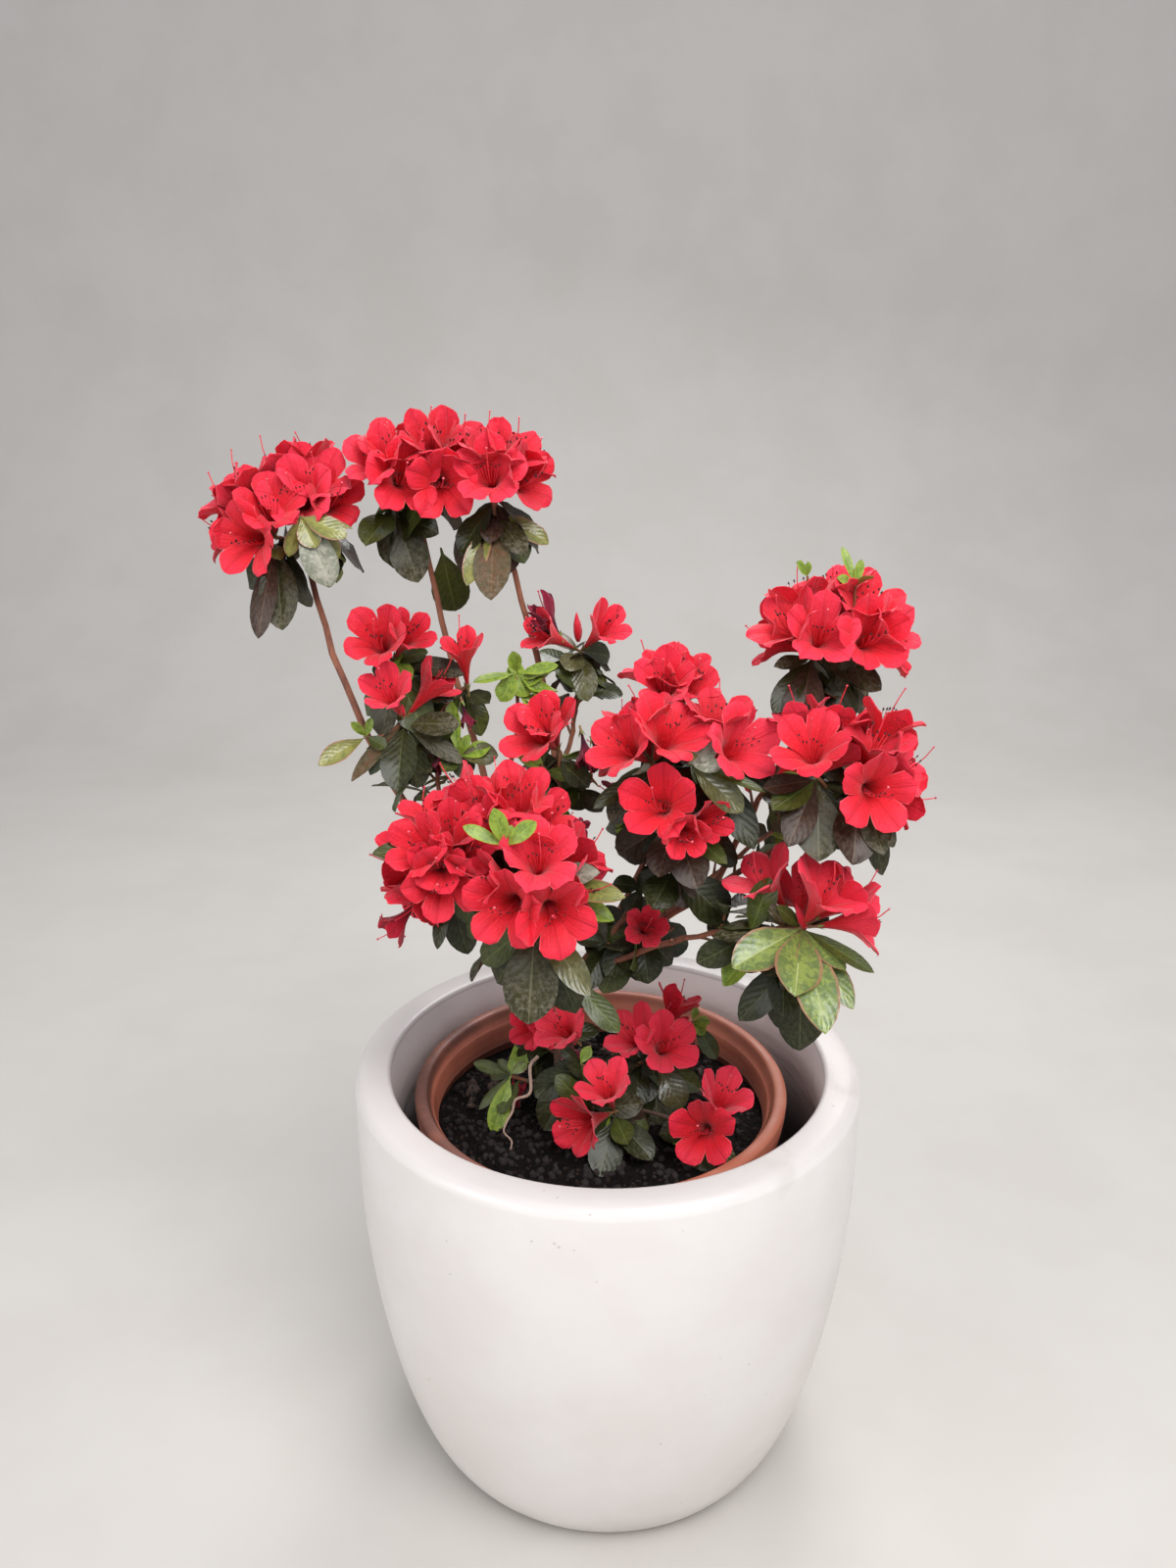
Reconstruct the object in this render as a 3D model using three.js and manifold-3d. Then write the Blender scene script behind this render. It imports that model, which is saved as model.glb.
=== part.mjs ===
// A red azalea in its plastic grow pot, set in a white round planter.
// Millimetres, +Z up. The origin is the centre of the planter's flat underside, and -Y is the side
// that the shrub leans to.
import * as THREE from "three";
import { mergeVertices } from "three/addons/utils/BufferGeometryUtils.js";
import Module from "manifold-3d";

const wasm = await Module();
wasm.setup();

const rad = THREE.MathUtils.degToRad;
const GOLDEN_ANGLE = Math.PI * (3 - Math.sqrt(5));
const GAP = 0.3; // clearance between pieces that touch on the real plant

// The planter: a thick round shell that swells from a flat foot to an upright lip.
const PLANTER = {
  rimRadius: 150,
  footRadius: 102,
  height: 256,
  swellHeight: 200, // where the wall reaches its full width
  swellPower: 1.72,
  swellRoot: 0.59,
  wall: 18,
  floor: 24,
  mouthRadius: 129,
  lipRound: 7,
  steps: 7, // rings up the swell
  sides: 40,
};

// The grow pot stands on the planter's floor, a little to the left of its axis.
const GROW_POT = {
  x: -4,
  rimRadius: 112,
  rimWidth: 9,
  bandHeight: 22,
  bandStep: 6,
  footRadius: 79,
  wall: 3,
  top: 243,
  sides: 32,
};
const SOIL = { level: 216, dome: 3, sides: 32 };

// Blooms and leaves, at full size.
const BLOOM = { length: 37, radius: 22, throat: 0.55, throatRadius: 0.3, notch: 0.8 };
const LEAF = { length: 37, width: 18, fold: 0.08, widest: 0.55 };
const LEAF_SIZES = [0.72, 1.1];
const LEAF_TILT = [90, 118]; // degrees between a head's facing and the leaves below its blooms
const YOUNG_LEAF_TILT = [40, 80];
const LEAF_DROOP = [0.05, 0.5];
const LEAF_SPACING = 1.4; // along the twig
const STEM_LENGTH = 10; // from a bough's tip to the fork inside its mass
const TWIG_RADIUS = 1.4;
const BLOOM_SPREAD = [8, 42, 52, 60, 68, 75]; // widest tilt of a head's blooms, by their number
const BORDER = 60; // square millimetres of power between the spaces of two masses
const CROWDING = 0.67; // least distance between two blooms' mouths, over their radii together
const TRIES = 16; // goes at placing a leaf or a bloom before it is left out
const LIMB_SIDES = 5;
const LIMB_STEPS = 6;
const LIMB_TAPER = 0.6; // a bough's tip over its foot
const THINNEST_TIP = 1.2;
const CLEAR_OF_LIMB = 1.5;
const CLEAR_OF_SOIL = 1.5;
const CLEAR_OF_POT_WALL = 3;

const TRUNK = {
  foot: [-22, 12, SOIL.level], // cut off flat at the top of the soil
  top: [-28, 1, 312],
  bow: [-2, -1, 0],
  footRadius: 7.5,
  topRadius: 4.6,
  flare: 0.45, // how much wider the root is than the taper
  flareShare: 0.07, // the share of the trunk's length over which most of that fades
};

// The masses, one row each. A bough leaves the limb named by on, a share along of its length up,
// and bow is how far its middle lies off the straight line. Its tip hands over to the mass's own
// stem, which points along facing and ends in the fork, or with one shoot in its head. Each shoot
// runs from the fork to its head: where the head is, which way it faces, and how many blooms and
// leaves it carries. open is how wide the blooms are, from 0 shut to 1 flat.
const MASSES = {
  far_left: {
    on: "trunk", along: 0.78, bow: [-22, 2, -4], radius: 3.2,
    fork: [-170, 35, 552], facing: [-0.3, 0.1, 0.95], open: 0.8,
    shoots: [
      [[-182, 24, 562], [-0.55, -0.5, 0.65], 4, 5],
      [[-164, 38, 572], [0.05, -0.1, 1], 5, 6],
    ],
  },
  top_left: {
    on: "trunk", along: 0.86, bow: [-8, 18, -6], radius: 3,
    fork: [-105, 40, 572], facing: [-0.1, 0, 1], open: 0.85,
    shoots: [
      [[-119, 40, 588], [-0.5, -0.15, 0.85], 4, 5],
      [[-94, 40, 592], [0.25, -0.1, 0.95], 4, 4],
    ],
  },
  top_right: {
    on: "trunk", along: 0.94, bow: [14, 20, -4], radius: 3, facing: [0, 0, 1], open: 0.85,
    shoots: [[[-63, 35, 584], [0.15, -0.35, 0.9], 6, 7]],
  },
  left: {
    on: "far_left", along: 0.3, bow: [0, -8, 0], radius: 2.2,
    fork: [-99, -8, 455], facing: [-0.3, -0.2, 0.9], open: 0.65,
    shoots: [
      [[-117, -5, 499], [-0.3, -0.5, 0.8], 2, 4],
      [[-111, -15, 469], [-0.1, -0.35, 0.9], 2, 7],
      [[-78, 6, 483], [0.1, -0.2, 0.95], 1, 3],
    ],
  },
  centre_back: {
    on: "top_right", along: 0.45, bow: [4, 0, -4], radius: 1.9,
    facing: [0.2, 0, 1], open: 0.5, leafSize: 0.8,
    shoots: [[[-16, 40, 495], [0, -0.1, 1], 2, 6]],
  },
  young_shoot: {
    on: "top_left", along: 0.42, bow: [4, 0, -4], radius: 1.7,
    facing: [0, -0.1, 1], open: 0, leafSize: 0.62,
    shoots: [[[-51, 10, 487], [0.1, -0.4, 0.9], 0, 7]],
  },
  centre: {
    on: "trunk", along: 0.97, bow: [0, 2, 0], radius: 2,
    facing: [0, 0, 1], open: 0.75, leafSize: 0.8,
    shoots: [[[-27, -16, 452], [-0.4, -0.3, 0.85], 1, 6]],
  },
  middle: {
    on: "trunk", along: 0.9, bow: [6, 4, -8], radius: 2.9,
    fork: [26, -18, 402], facing: [0.1, -0.2, 0.95], open: 0.95,
    shoots: [
      [[33, -8, 468], [0, 0.1, 1], 2, 3],
      [[22, -40, 452], [-0.35, -0.5, 0.8], 3, 5],
      [[34, -45, 424], [-0.1, -0.95, 0.2], 3, 5],
      [[52, -38, 452], [0.5, -0.5, 0.7], 3, 8],
    ],
  },
  right: {
    on: "trunk", along: 0.95, bow: [2, 4, -4], radius: 2.9,
    fork: [114, -50, 432], facing: [0.5, -0.1, 0.8], open: 0.95,
    shoots: [
      [[106, -55, 450], [-0.25, -0.4, 0.9], 4, 6],
      [[128, -56, 446], [0.5, -0.4, 0.75], 4, 6],
    ],
  },
  right_top: {
    on: "right", along: 0.62, bow: [-2, 14, -6], radius: 2.3,
    fork: [117, -14, 494], facing: [0.1, 0, 1], open: 0.9,
    shoots: [
      [[107, -16, 506], [-0.35, -0.35, 0.85], 4, 5],
      [[128, -14, 507], [0.4, -0.25, 0.9], 4, 4],
    ],
  },
  low_right: {
    on: "trunk", along: 0.84, bow: [0, 0, 12], radius: 2.5,
    facing: [0.9, -0.3, 0.25], open: 0.85, leafSize: 1.12,
    shoots: [[[99, -75, 374], [0.3, -0.1, 0.95], 4, 9]],
  },
  front: {
    on: "trunk", along: 0.8, bow: [-4, -4, -6], radius: 2.9,
    fork: [-50, -48, 378], facing: [-0.2, -0.6, 0.8], open: 0.95,
    shoots: [
      [[-84, -70, 408], [-0.6, -0.5, 0.6], 6, 6],
      [[-38, -86, 404], [0.1, -0.8, 0.5], 6, 8],
      [[-49, -54, 417], [-0.1, -0.3, 0.95], 4, 5],
      [[-97, -74, 391], [-0.7, -0.1, -0.7], 1, 0],
    ],
  },
  inner_low: {
    on: "trunk", along: 0.72, bow: [0, 0, 6], radius: 1.9,
    facing: [0.9, -0.3, 0.1], open: 0.7,
    shoots: [[[19, -8, 340], [0, -0.8, 0.5], 2, 6]],
  },
  back_left: {
    on: "trunk", along: 0.7, bow: [-2, 6, -4], radius: 2.6,
    fork: [-64, 72, 338], facing: [-0.4, 0.8, 0.4], open: 0.85,
    shoots: [
      [[-88, 88, 350], [-0.6, 0.6, 0.5], 4, 5],
      [[-52, 98, 352], [0.1, 0.9, 0.4], 4, 5],
    ],
  },
  back: {
    on: "trunk", along: 0.88, bow: [4, 6, -8], radius: 2.8,
    fork: [32, 66, 384], facing: [0.2, 0.4, 0.8], open: 0.85,
    shoots: [
      [[46, 88, 388], [0.4, 0.9, 0.1], 3, 5],
      [[30, 80, 420], [-0.2, 0.6, 0.8], 3, 5],
      [[60, 62, 422], [0.7, 0.2, 0.6], 3, 4],
    ],
  },
  back_right: {
    on: "right", along: 0.35, bow: [0, 10, -4], radius: 2.2,
    fork: [126, 44, 408], facing: [0.6, 0.4, 0.5], open: 0.85,
    shoots: [
      [[142, 52, 420], [0.5, 0.5, 0.7], 4, 6],
      [[128, 62, 402], [0.2, 0.95, 0], 3, 4],
    ],
  },
  pot_front: {
    on: "trunk", along: 0.1, bow: [0, -4, 4], radius: 1.8,
    facing: [0.3, -0.6, 0.5], open: 0.8, leafSize: 0.85,
    shoots: [[[4, -38, 241], [-0.2, -0.45, 0.85], 2, 7]],
  },
  pot_right: {
    on: "trunk", along: 0.14, bow: [0, -4, 2], radius: 1.7,
    facing: [0.8, -0.4, 0.3], open: 0.9, leafSize: 0.8,
    shoots: [[[59, -40, 233], [0.2, -0.5, 0.8], 2, 4]],
  },
  pot_middle: {
    on: "trunk", along: 0.26, bow: [2, 0, -2], radius: 1.8,
    facing: [0.5, -0.3, 0.8], open: 0.85, leafSize: 0.85,
    shoots: [[[29, 0, 255], [0, -0.5, 0.85], 3, 7]],
  },
  pot_back: {
    on: "trunk", along: 0.3, bow: [0, 2, -2], radius: 1.8,
    facing: [-0.3, 0.3, 0.8], open: 0.7, leafSize: 0.85,
    shoots: [[[-38, 34, 254], [0.1, -0.5, 0.8], 3, 5]],
  },
  pot_shoot: {
    on: "trunk", along: 0.14, bow: [0, -4, 2], radius: 1.5,
    facing: [-0.8, -0.2, 0.4], open: 0, leafSize: 0.75,
    shoots: [[[-58, -4, 244], [-0.5, -0.4, 0.7], 0, 6]],
  },
};

const COLOURS = {
  planter: [0xece8e4, 0.45],
  growPot: [0x9c5344, 0.6],
  soil: [0x2a2322, 0.95],
  bark: [0x8a5a48, 0.75],
  bloom: [0xd8202f, 0.5],
  foliage: [0x3c4a30, 0.5],
};

// Solids and geometries

// A closed geometry as a solid that can be joined and cut.
function solidOf(geometry) {
  const bare = geometry.clone();
  bare.deleteAttribute("normal");
  bare.deleteAttribute("uv");
  const merged = mergeVertices(bare, 1e-3);
  return new wasm.Manifold(
    new wasm.Mesh({
      numProp: 3,
      vertProperties: merged.attributes.position.array,
      triVerts: new Uint32Array(merged.index.array),
    }),
  );
}

// A solid's largest body, without loose scraps and with its sealed hollows filled.
function mainBody(solid) {
  return solid.decompose().reduce((most, body) => (body.volume() > most.volume() ? body : most));
}

function geometryOf(solid) {
  const { numProp, vertProperties, triVerts } = solid.getMesh();
  const count = vertProperties.length / numProp;
  const positions = new Float32Array(count * 3);
  for (let i = 0; i < count; i++) {
    positions.set(vertProperties.subarray(i * numProp, i * numProp + 3), i * 3);
  }
  return new THREE.BufferGeometry()
    .setAttribute("position", new THREE.BufferAttribute(positions, 3))
    .setIndex(new THREE.BufferAttribute(triVerts, 1));
}

// Profiles turned about the upright axis

// A profile of [radius, height] points, from the foot's centre outwards and back to the axis.
function turned(profile, sides) {
  const points = profile.map(([radius, height]) => new THREE.Vector2(radius, height));
  return new THREE.LatheGeometry(points, sides).rotateX(rad(90));
}

// The planter's outer radius at a height: steep at the foot, upright by swellHeight.
function planterRadius(z) {
  const rise = Math.min(z / PLANTER.swellHeight, 1);
  const swell = (1 - (1 - rise) ** PLANTER.swellPower) ** PLANTER.swellRoot;
  return PLANTER.footRadius + (PLANTER.rimRadius - PLANTER.footRadius) * swell;
}

// A quarter round of the lip, from angle a to b in degrees.
function quarterRound(centreRadius, centreHeight, round, a, b) {
  return [0, 0.5, 1].map((t) => {
    const angle = rad(a + (b - a) * t);
    return [centreRadius + round * Math.cos(angle), centreHeight + round * Math.sin(angle)];
  });
}

function planterShell() {
  const { steps, swellHeight, height, wall, floor, mouthRadius, lipRound } = PLANTER;
  const rings = Array.from({ length: steps + 1 }, (_, i) => swellHeight * (i / steps) ** 1.8);
  const outside = rings.map((z) => [planterRadius(z), z]);
  const inside = rings
    .filter((z) => z > floor)
    .map((z) => [Math.min(planterRadius(z) - wall, mouthRadius), z])
    .reverse();
  const floorRadius = inside.at(-1)[0] - lipRound;
  const inner = lipRound * 0.6;
  return turned(
    [
      [0, 0],
      ...outside,
      ...quarterRound(PLANTER.rimRadius - lipRound, height - lipRound, lipRound, 0, 90),
      ...quarterRound(mouthRadius + inner, height - inner, inner, 90, 180),
      ...inside,
      [floorRadius, floor],
      [0, floor],
    ],
    PLANTER.sides,
  );
}

// The grow pot's inner radius at a height above the planter's floor.
function growPotInside(z) {
  const { footRadius, rimRadius, bandStep, wall, top } = GROW_POT;
  const share = (z - PLANTER.floor) / (top - PLANTER.floor);
  return footRadius - wall + (rimRadius - bandStep - footRadius) * share;
}

function growPotShell() {
  const { rimRadius, rimWidth, bandHeight, footRadius, wall, top, sides } = GROW_POT;
  const foot = PLANTER.floor + GAP;
  const bandFoot = top - bandHeight;
  return turned(
    [
      [0, foot],
      [footRadius, foot],
      [growPotInside(bandFoot) + wall, bandFoot],
      [rimRadius - 1.5, bandFoot],
      [rimRadius, top - 2],
      [rimRadius - 2, top],
      [rimRadius - rimWidth + 2, top],
      [rimRadius - rimWidth, top - 2.5],
      [growPotInside(bandFoot), bandFoot],
      [footRadius - wall, foot + wall],
      [0, foot + wall],
    ],
    sides,
  );
}

// The soil fills the grow pot and rises a little towards its middle.
function soilFill() {
  const foot = PLANTER.floor + GAP + GROW_POT.wall + GAP;
  const { level, dome, sides } = SOIL;
  return turned(
    [
      [0, foot],
      [GROW_POT.footRadius - GROW_POT.wall - 2 * GAP, foot],
      [growPotInside(level) - 2 * GAP, level],
      [growPotInside(level) * 0.6, level + dome],
      [0, level + dome],
    ],
    sides,
  );
}

// Limbs

// The route of a limb from one point to another, with its middle moved by bow.
function route(from, to, bow) {
  const middle = from.clone().add(to).multiplyScalar(0.5).addScaledVector(bow, 2);
  return new THREE.QuadraticBezierCurve3(from, middle, to);
}

// A cylinder with a radius for every height, bent so that its axis follows the curve.
function bentCylinder(curve, radiusAt, sides, steps) {
  const geometry = new THREE.CylinderGeometry(1, 1, 1, sides, steps).rotateX(rad(90));
  const positions = geometry.attributes.position;
  const point = new THREE.Vector3();
  const turn = new THREE.Quaternion();
  const up = new THREE.Vector3(0, 0, 1);
  for (let i = 0; i < positions.count; i++) {
    point.fromBufferAttribute(positions, i);
    const along = THREE.MathUtils.clamp(point.z + 0.5, 0, 1);
    const radius = radiusAt(along);
    point.set(point.x * radius, point.y * radius, 0);
    turn.setFromUnitVectors(up, curve.getTangent(along));
    point.applyQuaternion(turn).add(curve.getPoint(along));
    positions.setXYZ(i, point.x, point.y, point.z);
  }
  return geometry;
}

const vector = (numbers) => new THREE.Vector3(...numbers);
const taper = (from, to) => (along) => THREE.MathUtils.lerp(from, to, along);

// Every limb's route and radii: the trunk, then one bough for each mass.
function layOutLimbs() {
  const { foot, top, bow, footRadius, topRadius, flare, flareShare } = TRUNK;
  const girth = taper(footRadius, topRadius);
  const trunk = {
    curve: route(vector(foot), vector(top), vector(bow)),
    radiusAt: (along) => girth(along) * (1 + flare * Math.exp(-along / flareShare)),
  };
  const limbs = new Map([["trunk", trunk]]);
  for (const [name, row] of Object.entries(MASSES)) {
    const from = limbs.get(row.on).curve.getPoint(row.along);
    const curve = route(from, boughTip(row), vector(row.bow));
    limbs.set(name, { curve, radiusAt: taper(row.radius, tipRadius(row)) });
  }
  return limbs;
}

const forkOf = (row) => vector(row.fork ?? row.shoots[0][0]);
const boughTip = (row) => forkOf(row).addScaledVector(vector(row.facing).normalize(), -STEM_LENGTH);
const tipRadius = (row) => Math.max(row.radius * LIMB_TAPER, THINNEST_TIP);
const LIMBS = layOutLimbs();

function limbSolid(limb, extra = 0) {
  const radiusAt = (along) => limb.radiusAt(along) + extra;
  return solidOf(bentCylinder(limb.curve, radiusAt, LIMB_SIDES, LIMB_STEPS));
}

// Leaves and blooms, grown along +Z from the origin with their upper side to +Y. Each has a shape
// and the points that it is tried with before it is added.

// A leaf folded a little along its middle, of four faces.
function leafShape(length, width) {
  const [side, fold, widest] = [width / 2, LEAF.fold * width, LEAF.widest * length];
  const points = [[0, 0, -0.3], [0, 0, length], [side, fold, widest], [-side, fold, widest]];
  const geometry = new THREE.BufferGeometry()
    .setAttribute("position", new THREE.Float32BufferAttribute(points.flat(), 3))
    .setIndex([0, 2, 1, 0, 1, 3, 0, 3, 2, 1, 2, 3]);
  const probes = [0.45, 0.6, 0.8, 1].map((share) => [0, 0, share * length]);
  for (const [across, share] of [[1, 0.55], [0.6, 0.3], [0.6, 0.75]]) {
    probes.push([across * side, fold, share * length], [-across * side, fold, share * length]);
  }
  return { geometry, probes };
}

// A ring of points round the +Z axis.
function ringPoints(count, offset, radius, height) {
  return Array.from({ length: count }, (_, i) => {
    const angle = rad((360 / count) * i + offset);
    return [radius * Math.cos(angle), radius * Math.sin(angle), height];
  });
}

// A five-lobed funnel. Its outer and inner faces meet in the rim, and its foot is a point.
function bloomShape(size, open) {
  const length = BLOOM.length * size * (1.08 - 0.12 * open);
  const radius = BLOOM.radius * size * (0.3 + 0.7 * open);
  const throatHeight = BLOOM.throat * length;
  const tips = ringPoints(5, 0, radius, length);
  const notches = ringPoints(5, 36, radius * BLOOM.notch, length * 0.95);
  const throat = ringPoints(5, 0, BLOOM.throatRadius * radius + 0.8, throatHeight);
  const points = [[0, 0, 0], ...throat, ...tips, ...notches, [0, 0, throatHeight * 1.12]];
  const index = [];
  for (let k = 0; k < 5; k++) {
    const next = (k + 1) % 5;
    const [throatHere, throatNext] = [1 + k, 1 + next];
    const [tip, tipNext, notch, deep] = [6 + k, 6 + next, 11 + k, 16];
    index.push(
      0, throatNext, throatHere, throatHere, notch, tip, throatHere, throatNext, notch,
      throatNext, tipNext, notch, deep, tip, notch, deep, notch, tipNext,
    );
  }
  const geometry = new THREE.BufferGeometry()
    .setAttribute("position", new THREE.Float32BufferAttribute(points.flat(), 3))
    .setIndex(index);
  const middle = ringPoints(5, 36, radius * 0.55, length * 0.85);
  const probes = [...throat, ...tips, ...notches, ...middle, [0, 0, length]];
  return { geometry, probes, mouth: { centre: vector([0, 0, length * 0.9]), radius } };
}

// The turn and move that take +Z to a direction and the +Y side towards face, at a point.
function placement(point, direction, face) {
  const side = new THREE.Vector3().crossVectors(face, direction).normalize();
  const upright = new THREE.Vector3().crossVectors(direction, side);
  return new THREE.Matrix4().makeBasis(side, upright, direction).setPosition(point);
}

// A direction tilted away from an axis, by two angles in degrees.
function tilted(axis, tilt, turn) {
  const side = new THREE.Vector3(0, 0, 1).cross(axis);
  if (side.length() < 0.01) side.set(1, 0, 0);
  side.normalize();
  const upright = new THREE.Vector3().crossVectors(axis, side);
  const across = Math.sin(rad(tilt));
  return axis
    .clone()
    .multiplyScalar(Math.cos(rad(tilt)))
    .addScaledVector(side, across * Math.cos(rad(turn)))
    .addScaledVector(upright, across * Math.sin(rad(turn)));
}

// Each mass keeps to its own space: a ball round each of its heads, cut flat towards the balls of
// the other masses.
const SPACES = Object.entries(MASSES).flatMap(([name, row]) =>
  row.shoots.map(([head, facing, blooms]) => ({
    name,
    centre: vector(head).addScaledVector(vector(facing).normalize(), blooms ? 12 : 0),
    radius: blooms ? Math.min(24 + 5 * blooms, 42) : 36 * (row.leafSize ?? 1),
  })),
);

// How far a point is from the nearest ball of the spaces that are chosen, by its power.
function nearestPower(point, chosen) {
  const powers = SPACES.filter(chosen).map(
    ({ centre, radius }) => point.distanceToSquared(centre) - radius ** 2,
  );
  return Math.min(...powers);
}

function inOwnSpace(name, point) {
  const mine = nearestPower(point, (space) => space.name === name);
  return mine + BORDER < nearestPower(point, (space) => space.name !== name);
}

// Straight lengths that follow every limb, each with its radius.
const LIMB_LENGTHS = [...LIMBS.values()].flatMap(({ curve, radiusAt }) =>
  Array.from({ length: 10 }, (_, i) => ({
    line: new THREE.Line3(curve.getPoint(i / 10), curve.getPoint((i + 1) / 10)),
    radius: radiusAt(i / 10),
  })),
);

function clearOfLimbs(point) {
  const nearest = new THREE.Vector3();
  return LIMB_LENGTHS.every(({ line, radius }) => {
    line.closestPointToPoint(point, true, nearest);
    return nearest.distanceTo(point) > radius + CLEAR_OF_LIMB;
  });
}

// True above the soil and, lower than the planter's lip, inside the grow pot.
function clearOfPots(point) {
  if (point.z < SOIL.level + SOIL.dome + CLEAR_OF_SOIL) return false;
  const fromAxis = Math.hypot(point.x - GROW_POT.x, point.y);
  const inside = fromAxis < growPotInside(point.z) - CLEAR_OF_POT_WALL;
  return inside || point.z > PLANTER.height + CLEAR_OF_SOIL;
}

// Growing a mass

// A seeded row of numbers from 0 to 1.
function seededDraws(seed) {
  let state = seed >>> 0;
  return () => {
    state = (state + 0x6d2b79f5) >>> 0;
    let mixed = Math.imul(state ^ (state >>> 15), state | 1);
    mixed ^= mixed + Math.imul(mixed ^ (mixed >>> 7), mixed | 61);
    return ((mixed ^ (mixed >>> 14)) >>> 0) / 4294967296;
  };
}

const between = (draw, low, high) => low + (high - low) * draw();

// Tries a few places for a leaf or a bloom, and gives the first that keeps to the mass's space and,
// for a bloom, does not crowd the mouths of the blooms before it.
function firstThatFits(name, mouths, offer) {
  for (let attempt = 0; attempt < TRIES; attempt++) {
    const strain = attempt / TRIES;
    const { geometry, probes, matrix, mouth } = offer(strain);
    if (mouth) {
      mouth.centre.applyMatrix4(matrix);
      const share = CROWDING * (1 - 0.35 * strain);
      const near = ({ centre, radius }) =>
        centre.distanceTo(mouth.centre) < (radius + mouth.radius) * share;
      if (mouths.some(near)) continue;
    }
    const clear = probes.every((numbers) => {
      const point = vector(numbers).applyMatrix4(matrix);
      return inOwnSpace(name, point) && clearOfLimbs(point) && clearOfPots(point);
    });
    if (!clear) continue;
    if (mouth) mouths.push(mouth);
    return [geometry.applyMatrix4(matrix)];
  }
  return [];
}

// A head's blooms, fanned out round the way it faces.
function bloomsOf(name, row, [head, facing, count], mouths, draw) {
  const axis = vector(facing).normalize();
  const spread = BLOOM_SPREAD[Math.min(count, BLOOM_SPREAD.length) - 1];
  const start = between(draw, 0, 360);
  return Array.from({ length: count }, (_, i) =>
    firstThatFits(name, mouths, (strain) => {
      const loose = 8 + 30 * strain;
      const share = Math.sqrt((i + 0.35) / (count - 0.4));
      const tilt = spread * share * (1 - 0.4 * strain) + between(draw, -0.5, 0.5) * loose;
      const turn = start + THREE.MathUtils.radToDeg(GOLDEN_ANGLE) * i + between(draw, -1, 1) * loose;
      const open = THREE.MathUtils.clamp(row.open + between(draw, -0.15, 0.1), 0.1, 1);
      const shape = bloomShape(between(draw, 0.9, 1.06) * (1 - 0.25 * strain), open);
      const way = tilted(axis, tilt, turn);
      const face = tilted(way, 90, between(draw, 0, 360));
      return { ...shape, matrix: placement(vector(head).addScaledVector(way, -0.5), way, face) };
    }),
  ).flat();
}

// A whorl of leaves below a head, spreading and drooping.
function leavesOf(name, row, [head, facing, blooms, count], draw) {
  const axis = vector(facing).normalize();
  const twig = row.shoots.length > 1 ? vector(head).sub(forkOf(row)) : vector(row.facing);
  twig.normalize();
  const start = between(draw, 0, 360);
  return Array.from({ length: count }, (_, i) =>
    firstThatFits(name, [], (strain) => {
      const turn = start + (360 / count) * i + between(draw, -1, 1) * (15 + 60 * strain);
      const size = between(draw, ...LEAF_SIZES) * (row.leafSize ?? 1) * (1 - 0.3 * strain);
      const shape = leafShape(LEAF.length * size, LEAF.width * size);
      const way = tilted(axis, between(draw, ...(blooms ? LEAF_TILT : YOUNG_LEAF_TILT)), turn);
      way.z -= between(draw, ...LEAF_DROOP);
      way.normalize();
      const root = vector(head).addScaledVector(twig, -2 - LEAF_SPACING * i);
      return { ...shape, matrix: placement(root, way, axis) };
    }),
  ).flat();
}

// A three-sided twig that runs a little past its end, so that what it carries is sunk in.
function twigShape(from, to, radius, past) {
  const end = to.clone().sub(from).normalize().multiplyScalar(past).add(to);
  return bentCylinder(new THREE.LineCurve3(from, end), taper(radius, radius * 0.8), 3, 1);
}

function growMass(name, row, seed) {
  const draw = seededDraws(seed);
  const fork = forkOf(row);
  const foot = boughTip(row).addScaledVector(vector(row.facing).normalize(), GAP);
  const parts = [twigShape(foot, fork, tipRadius(row) + 0.2, 1)];
  const mouths = [];
  for (const shoot of row.shoots) {
    const head = vector(shoot[0]);
    if (row.shoots.length > 1) parts.push(twigShape(fork, head, TWIG_RADIUS, 1));
    const blooms = bloomsOf(name, row, shoot, mouths, draw);
    const leaves = leavesOf(name, row, shoot, draw);
    parts.push(...blooms, ...leaves);
  }
  return wasm.Manifold.union(parts.map(solidOf));
}

// Assembly

function material([colour, roughness]) {
  return new THREE.MeshStandardMaterial({ color: colour, roughness, metalness: 0 });
}

const azalea = new THREE.Group();

function addNode(name, geometry, look, x = 0) {
  const mesh = new THREE.Mesh(geometry, material(look));
  mesh.name = name;
  mesh.position.x = x;
  azalea.add(mesh);
}

addNode("planter", planterShell(), COLOURS.planter);
addNode("grow_pot", growPotShell(), COLOURS.growPot, GROW_POT.x);
addNode("soil", soilFill(), COLOURS.soil, GROW_POT.x);

// Each limb is cut off at the soil, and clear of the limbs before it, so that it starts at their
// bark.
const wider = [];
for (const [name, limb] of LIMBS) {
  const grown = limbSolid(limb).trimByPlane([0, 0, 1], SOIL.level + SOIL.dome + GAP);
  const cut = wider.reduce((solid, other) => solid.subtract(other), grown);
  const node = name === "trunk" ? "trunk" : `bough_${name}`;
  addNode(node, geometryOf(mainBody(cut)), COLOURS.bark);
  wider.push(limbSolid(limb, GAP));
}

// Each mass is cut clear of the boughs too, which only its stem comes near.
Object.entries(MASSES).forEach(([name, row], index) => {
  const grown = growMass(name, row, index + 1);
  const cut = wider.reduce((solid, other) => solid.subtract(other), grown);
  const flowers = row.shoots.some(([, , blooms]) => blooms > 0);
  addNode(`mass_${name}`, geometryOf(mainBody(cut)), flowers ? COLOURS.bloom : COLOURS.foliage);
});

export default azalea;
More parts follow.
